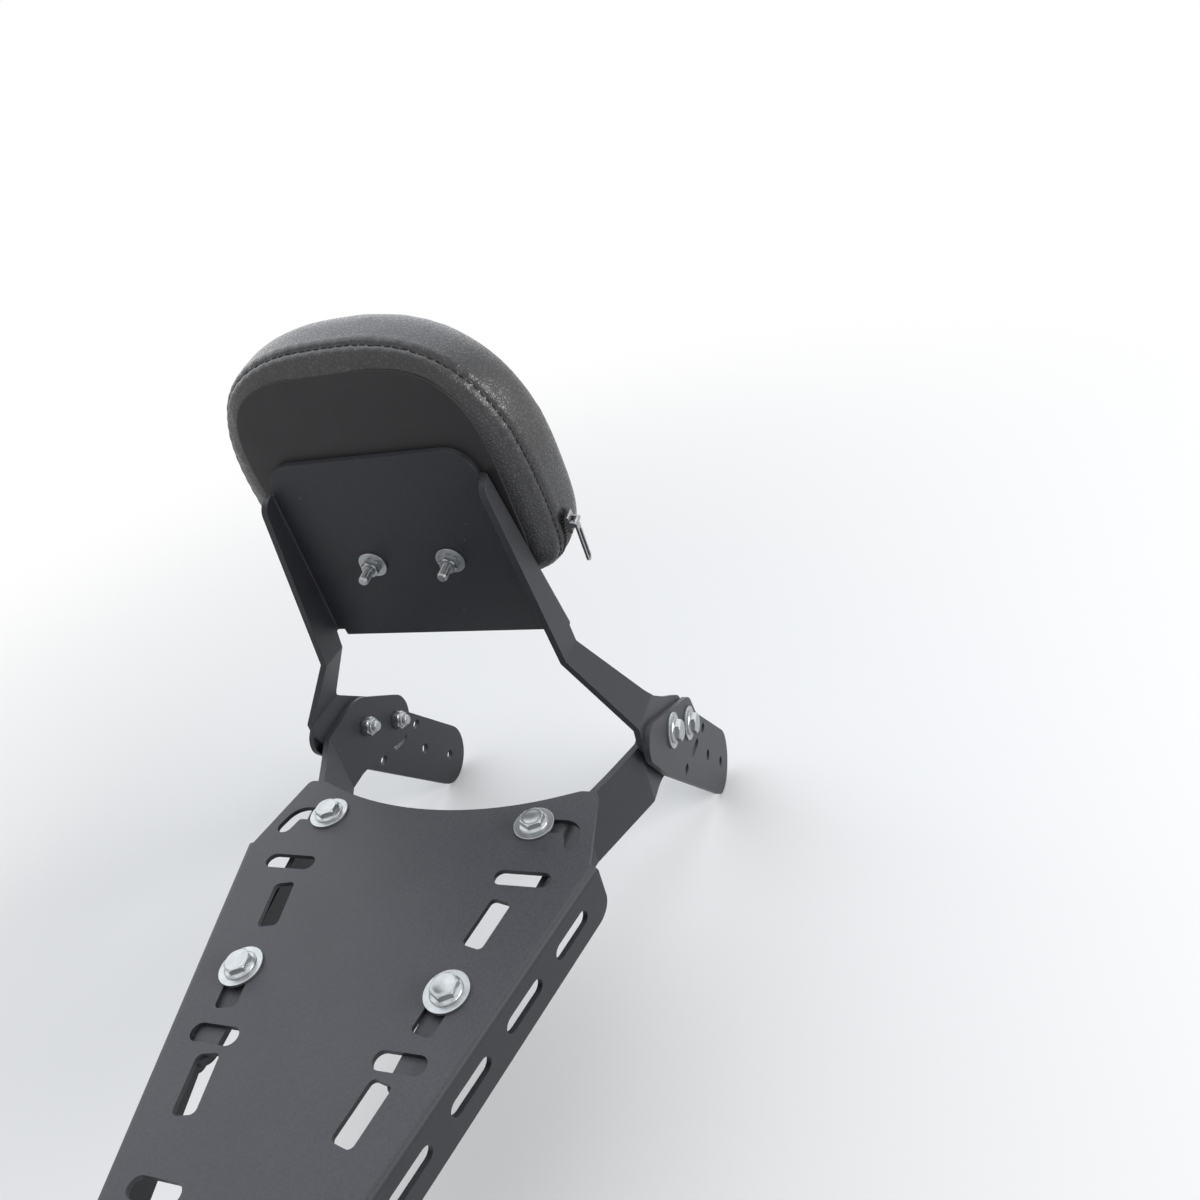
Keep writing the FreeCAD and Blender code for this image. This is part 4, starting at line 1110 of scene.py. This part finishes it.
def blend_shaders(tree, share, first, second, output):
    """Shows a blend of two shaders on an output node."""
    mix = add(tree, "ShaderNodeMixShader")
    link(tree, share, mix.inputs["Fac"])
    link(tree, first, mix.inputs[1])
    link(tree, second, mix.inputs[2])
    link(tree, mix.outputs["Shader"], tree.nodes[output].inputs["Surface"])


def floor():
    """Pale floor that keeps the shadow near the object and goes over into the white background."""
    bpy.ops.mesh.primitive_plane_add(size=FLOOR_SIZE, location=(0, 0, cad_box[0].z - FLOOR_GAP))
    plane = bpy.context.object
    plane.name = "floor"
    material, tree, shader = new_material("floor", Roughness=0.8, Specular_IOR_Level=0.2)
    tone = place_group(tree, blotches, Patch_Scale=0.7, Grain_Scale=300)
    shade(tree, tone.outputs["Patches"], shader.inputs["Base Color"],
          (0.87, 0.87, 0.87), (0.9, 0.9, 0.9))
    place = add(tree, "ShaderNodeTexCoord")
    away = add(tree, "ShaderNodeVectorMath", operation="LENGTH")
    link(tree, place.outputs["Object"], away.inputs[0])
    fade = add(tree, "ShaderNodeMapRange", From_Min=FADE_START, From_Max=FADE_END,
               interpolation_type="SMOOTHSTEP")
    link(tree, away.outputs["Value"], fade.inputs["Value"])
    share = add(tree, "ShaderNodeMath", operation="MULTIPLY")
    link(tree, fade.outputs["Result"], share.inputs[0])
    link(tree, seen_directly(tree), share.inputs[1])
    white = add(tree, "ShaderNodeEmission", Color=(1, 1, 1, 1), Strength=1)
    blend_shaders(tree, share.outputs["Value"], shader.outputs["BSDF"], white.outputs["Emission"],
                  "Material Output")
    plane.data.materials.append(material)


def world():
    """Even soft light from all round, which shows as white."""
    sky = bpy.data.worlds.new("studio")
    sky.use_nodes = True
    tree = sky.node_tree
    light = tree.nodes["Background"]
    light.inputs["Color"].default_value = (0.97, 0.985, 1, 1)
    light.inputs["Strength"].default_value = SKY_LIGHT
    white = add(tree, "ShaderNodeBackground", Color=(1, 1, 1, 1), Strength=1)
    blend_shaders(tree, seen_directly(tree), light.outputs["Background"],
                  white.outputs["Background"], "World Output")
    bpy.context.scene.world = sky


def lamps():
    """Very soft light from above and a long lamp at the object's right."""
    overhead = bpy.data.lights.new("overhead", "SUN")
    overhead.energy = 1.9
    overhead.angle = math.radians(105)
    overhead.color = (0.92, 0.955, 1)
    side = bpy.data.lights.new("side", "AREA")
    side.energy = 42
    side.shape = "RECTANGLE"
    side.size = 2.2
    side.size_y = 0.45
    for lamp, place in ((overhead, OVERHEAD_PLACE), (side, SIDE_PLACE)):
        holder = bpy.data.objects.new(lamp.name, lamp)
        holder.location = place
        aim = LIT_POINT - Vector(place)
        holder.rotation_euler = aim.to_track_quat("-Z", "Y").to_euler()
        bpy.context.scene.collection.objects.link(holder)


def camera():
    """Camera of the photograph."""
    lens = bpy.data.cameras.new("camera")
    lens.lens = CAMERA_LENS
    lens.sensor_width = SENSOR_WIDTH
    lens.clip_start = 0.01
    holder = bpy.data.objects.new("camera", lens)
    turn = (CAMERA_AIM - CAMERA_PLACE).to_track_quat("-Z", "Y").to_matrix().to_4x4()
    roll = Matrix.Rotation(CAMERA_ROLL, 4, "Z")
    holder.matrix_world = Matrix.Translation(CAMERA_PLACE) @ turn @ roll
    bpy.context.scene.collection.objects.link(holder)
    bpy.context.scene.camera = holder


for sheet in ("backrest_upright", "fender_bracket_right", "fender_bracket_left", "rack_leg_right",
              "rack_leg_left", "rack_deck"):
    finish_node(sheet, finishes["powder_coat"], SHEET_EDGE)
for washers in ("clamp_washers", "deck_washers", "pad_washers"):
    finish_node(washers, finishes["zinc_steel"], WASHER_EDGE)
finish_node("zip_slider", finishes["zip_metal"], SLIDER_EDGE)
finish_node("zip_pull", finishes["zip_metal"], PULL_EDGE)
finish_node("pad_base_board", finishes["board"], BOARD_EDGE)

bolts("clamp_bolts", "clamp_washers", sideways, CLAMP_BOLT_LENGTH)
bolts("deck_bolts", "deck_washers", upward, DECK_BOLT_LENGTH)
lock_nuts("clamp_nuts", inward)
lock_nuts("deck_nuts", downward)
stud_nuts()
studs()

pad_cover()
back_panel()

floor()
world()
lamps()
camera()
bpy.context.scene.view_settings.view_transform = "Standard"
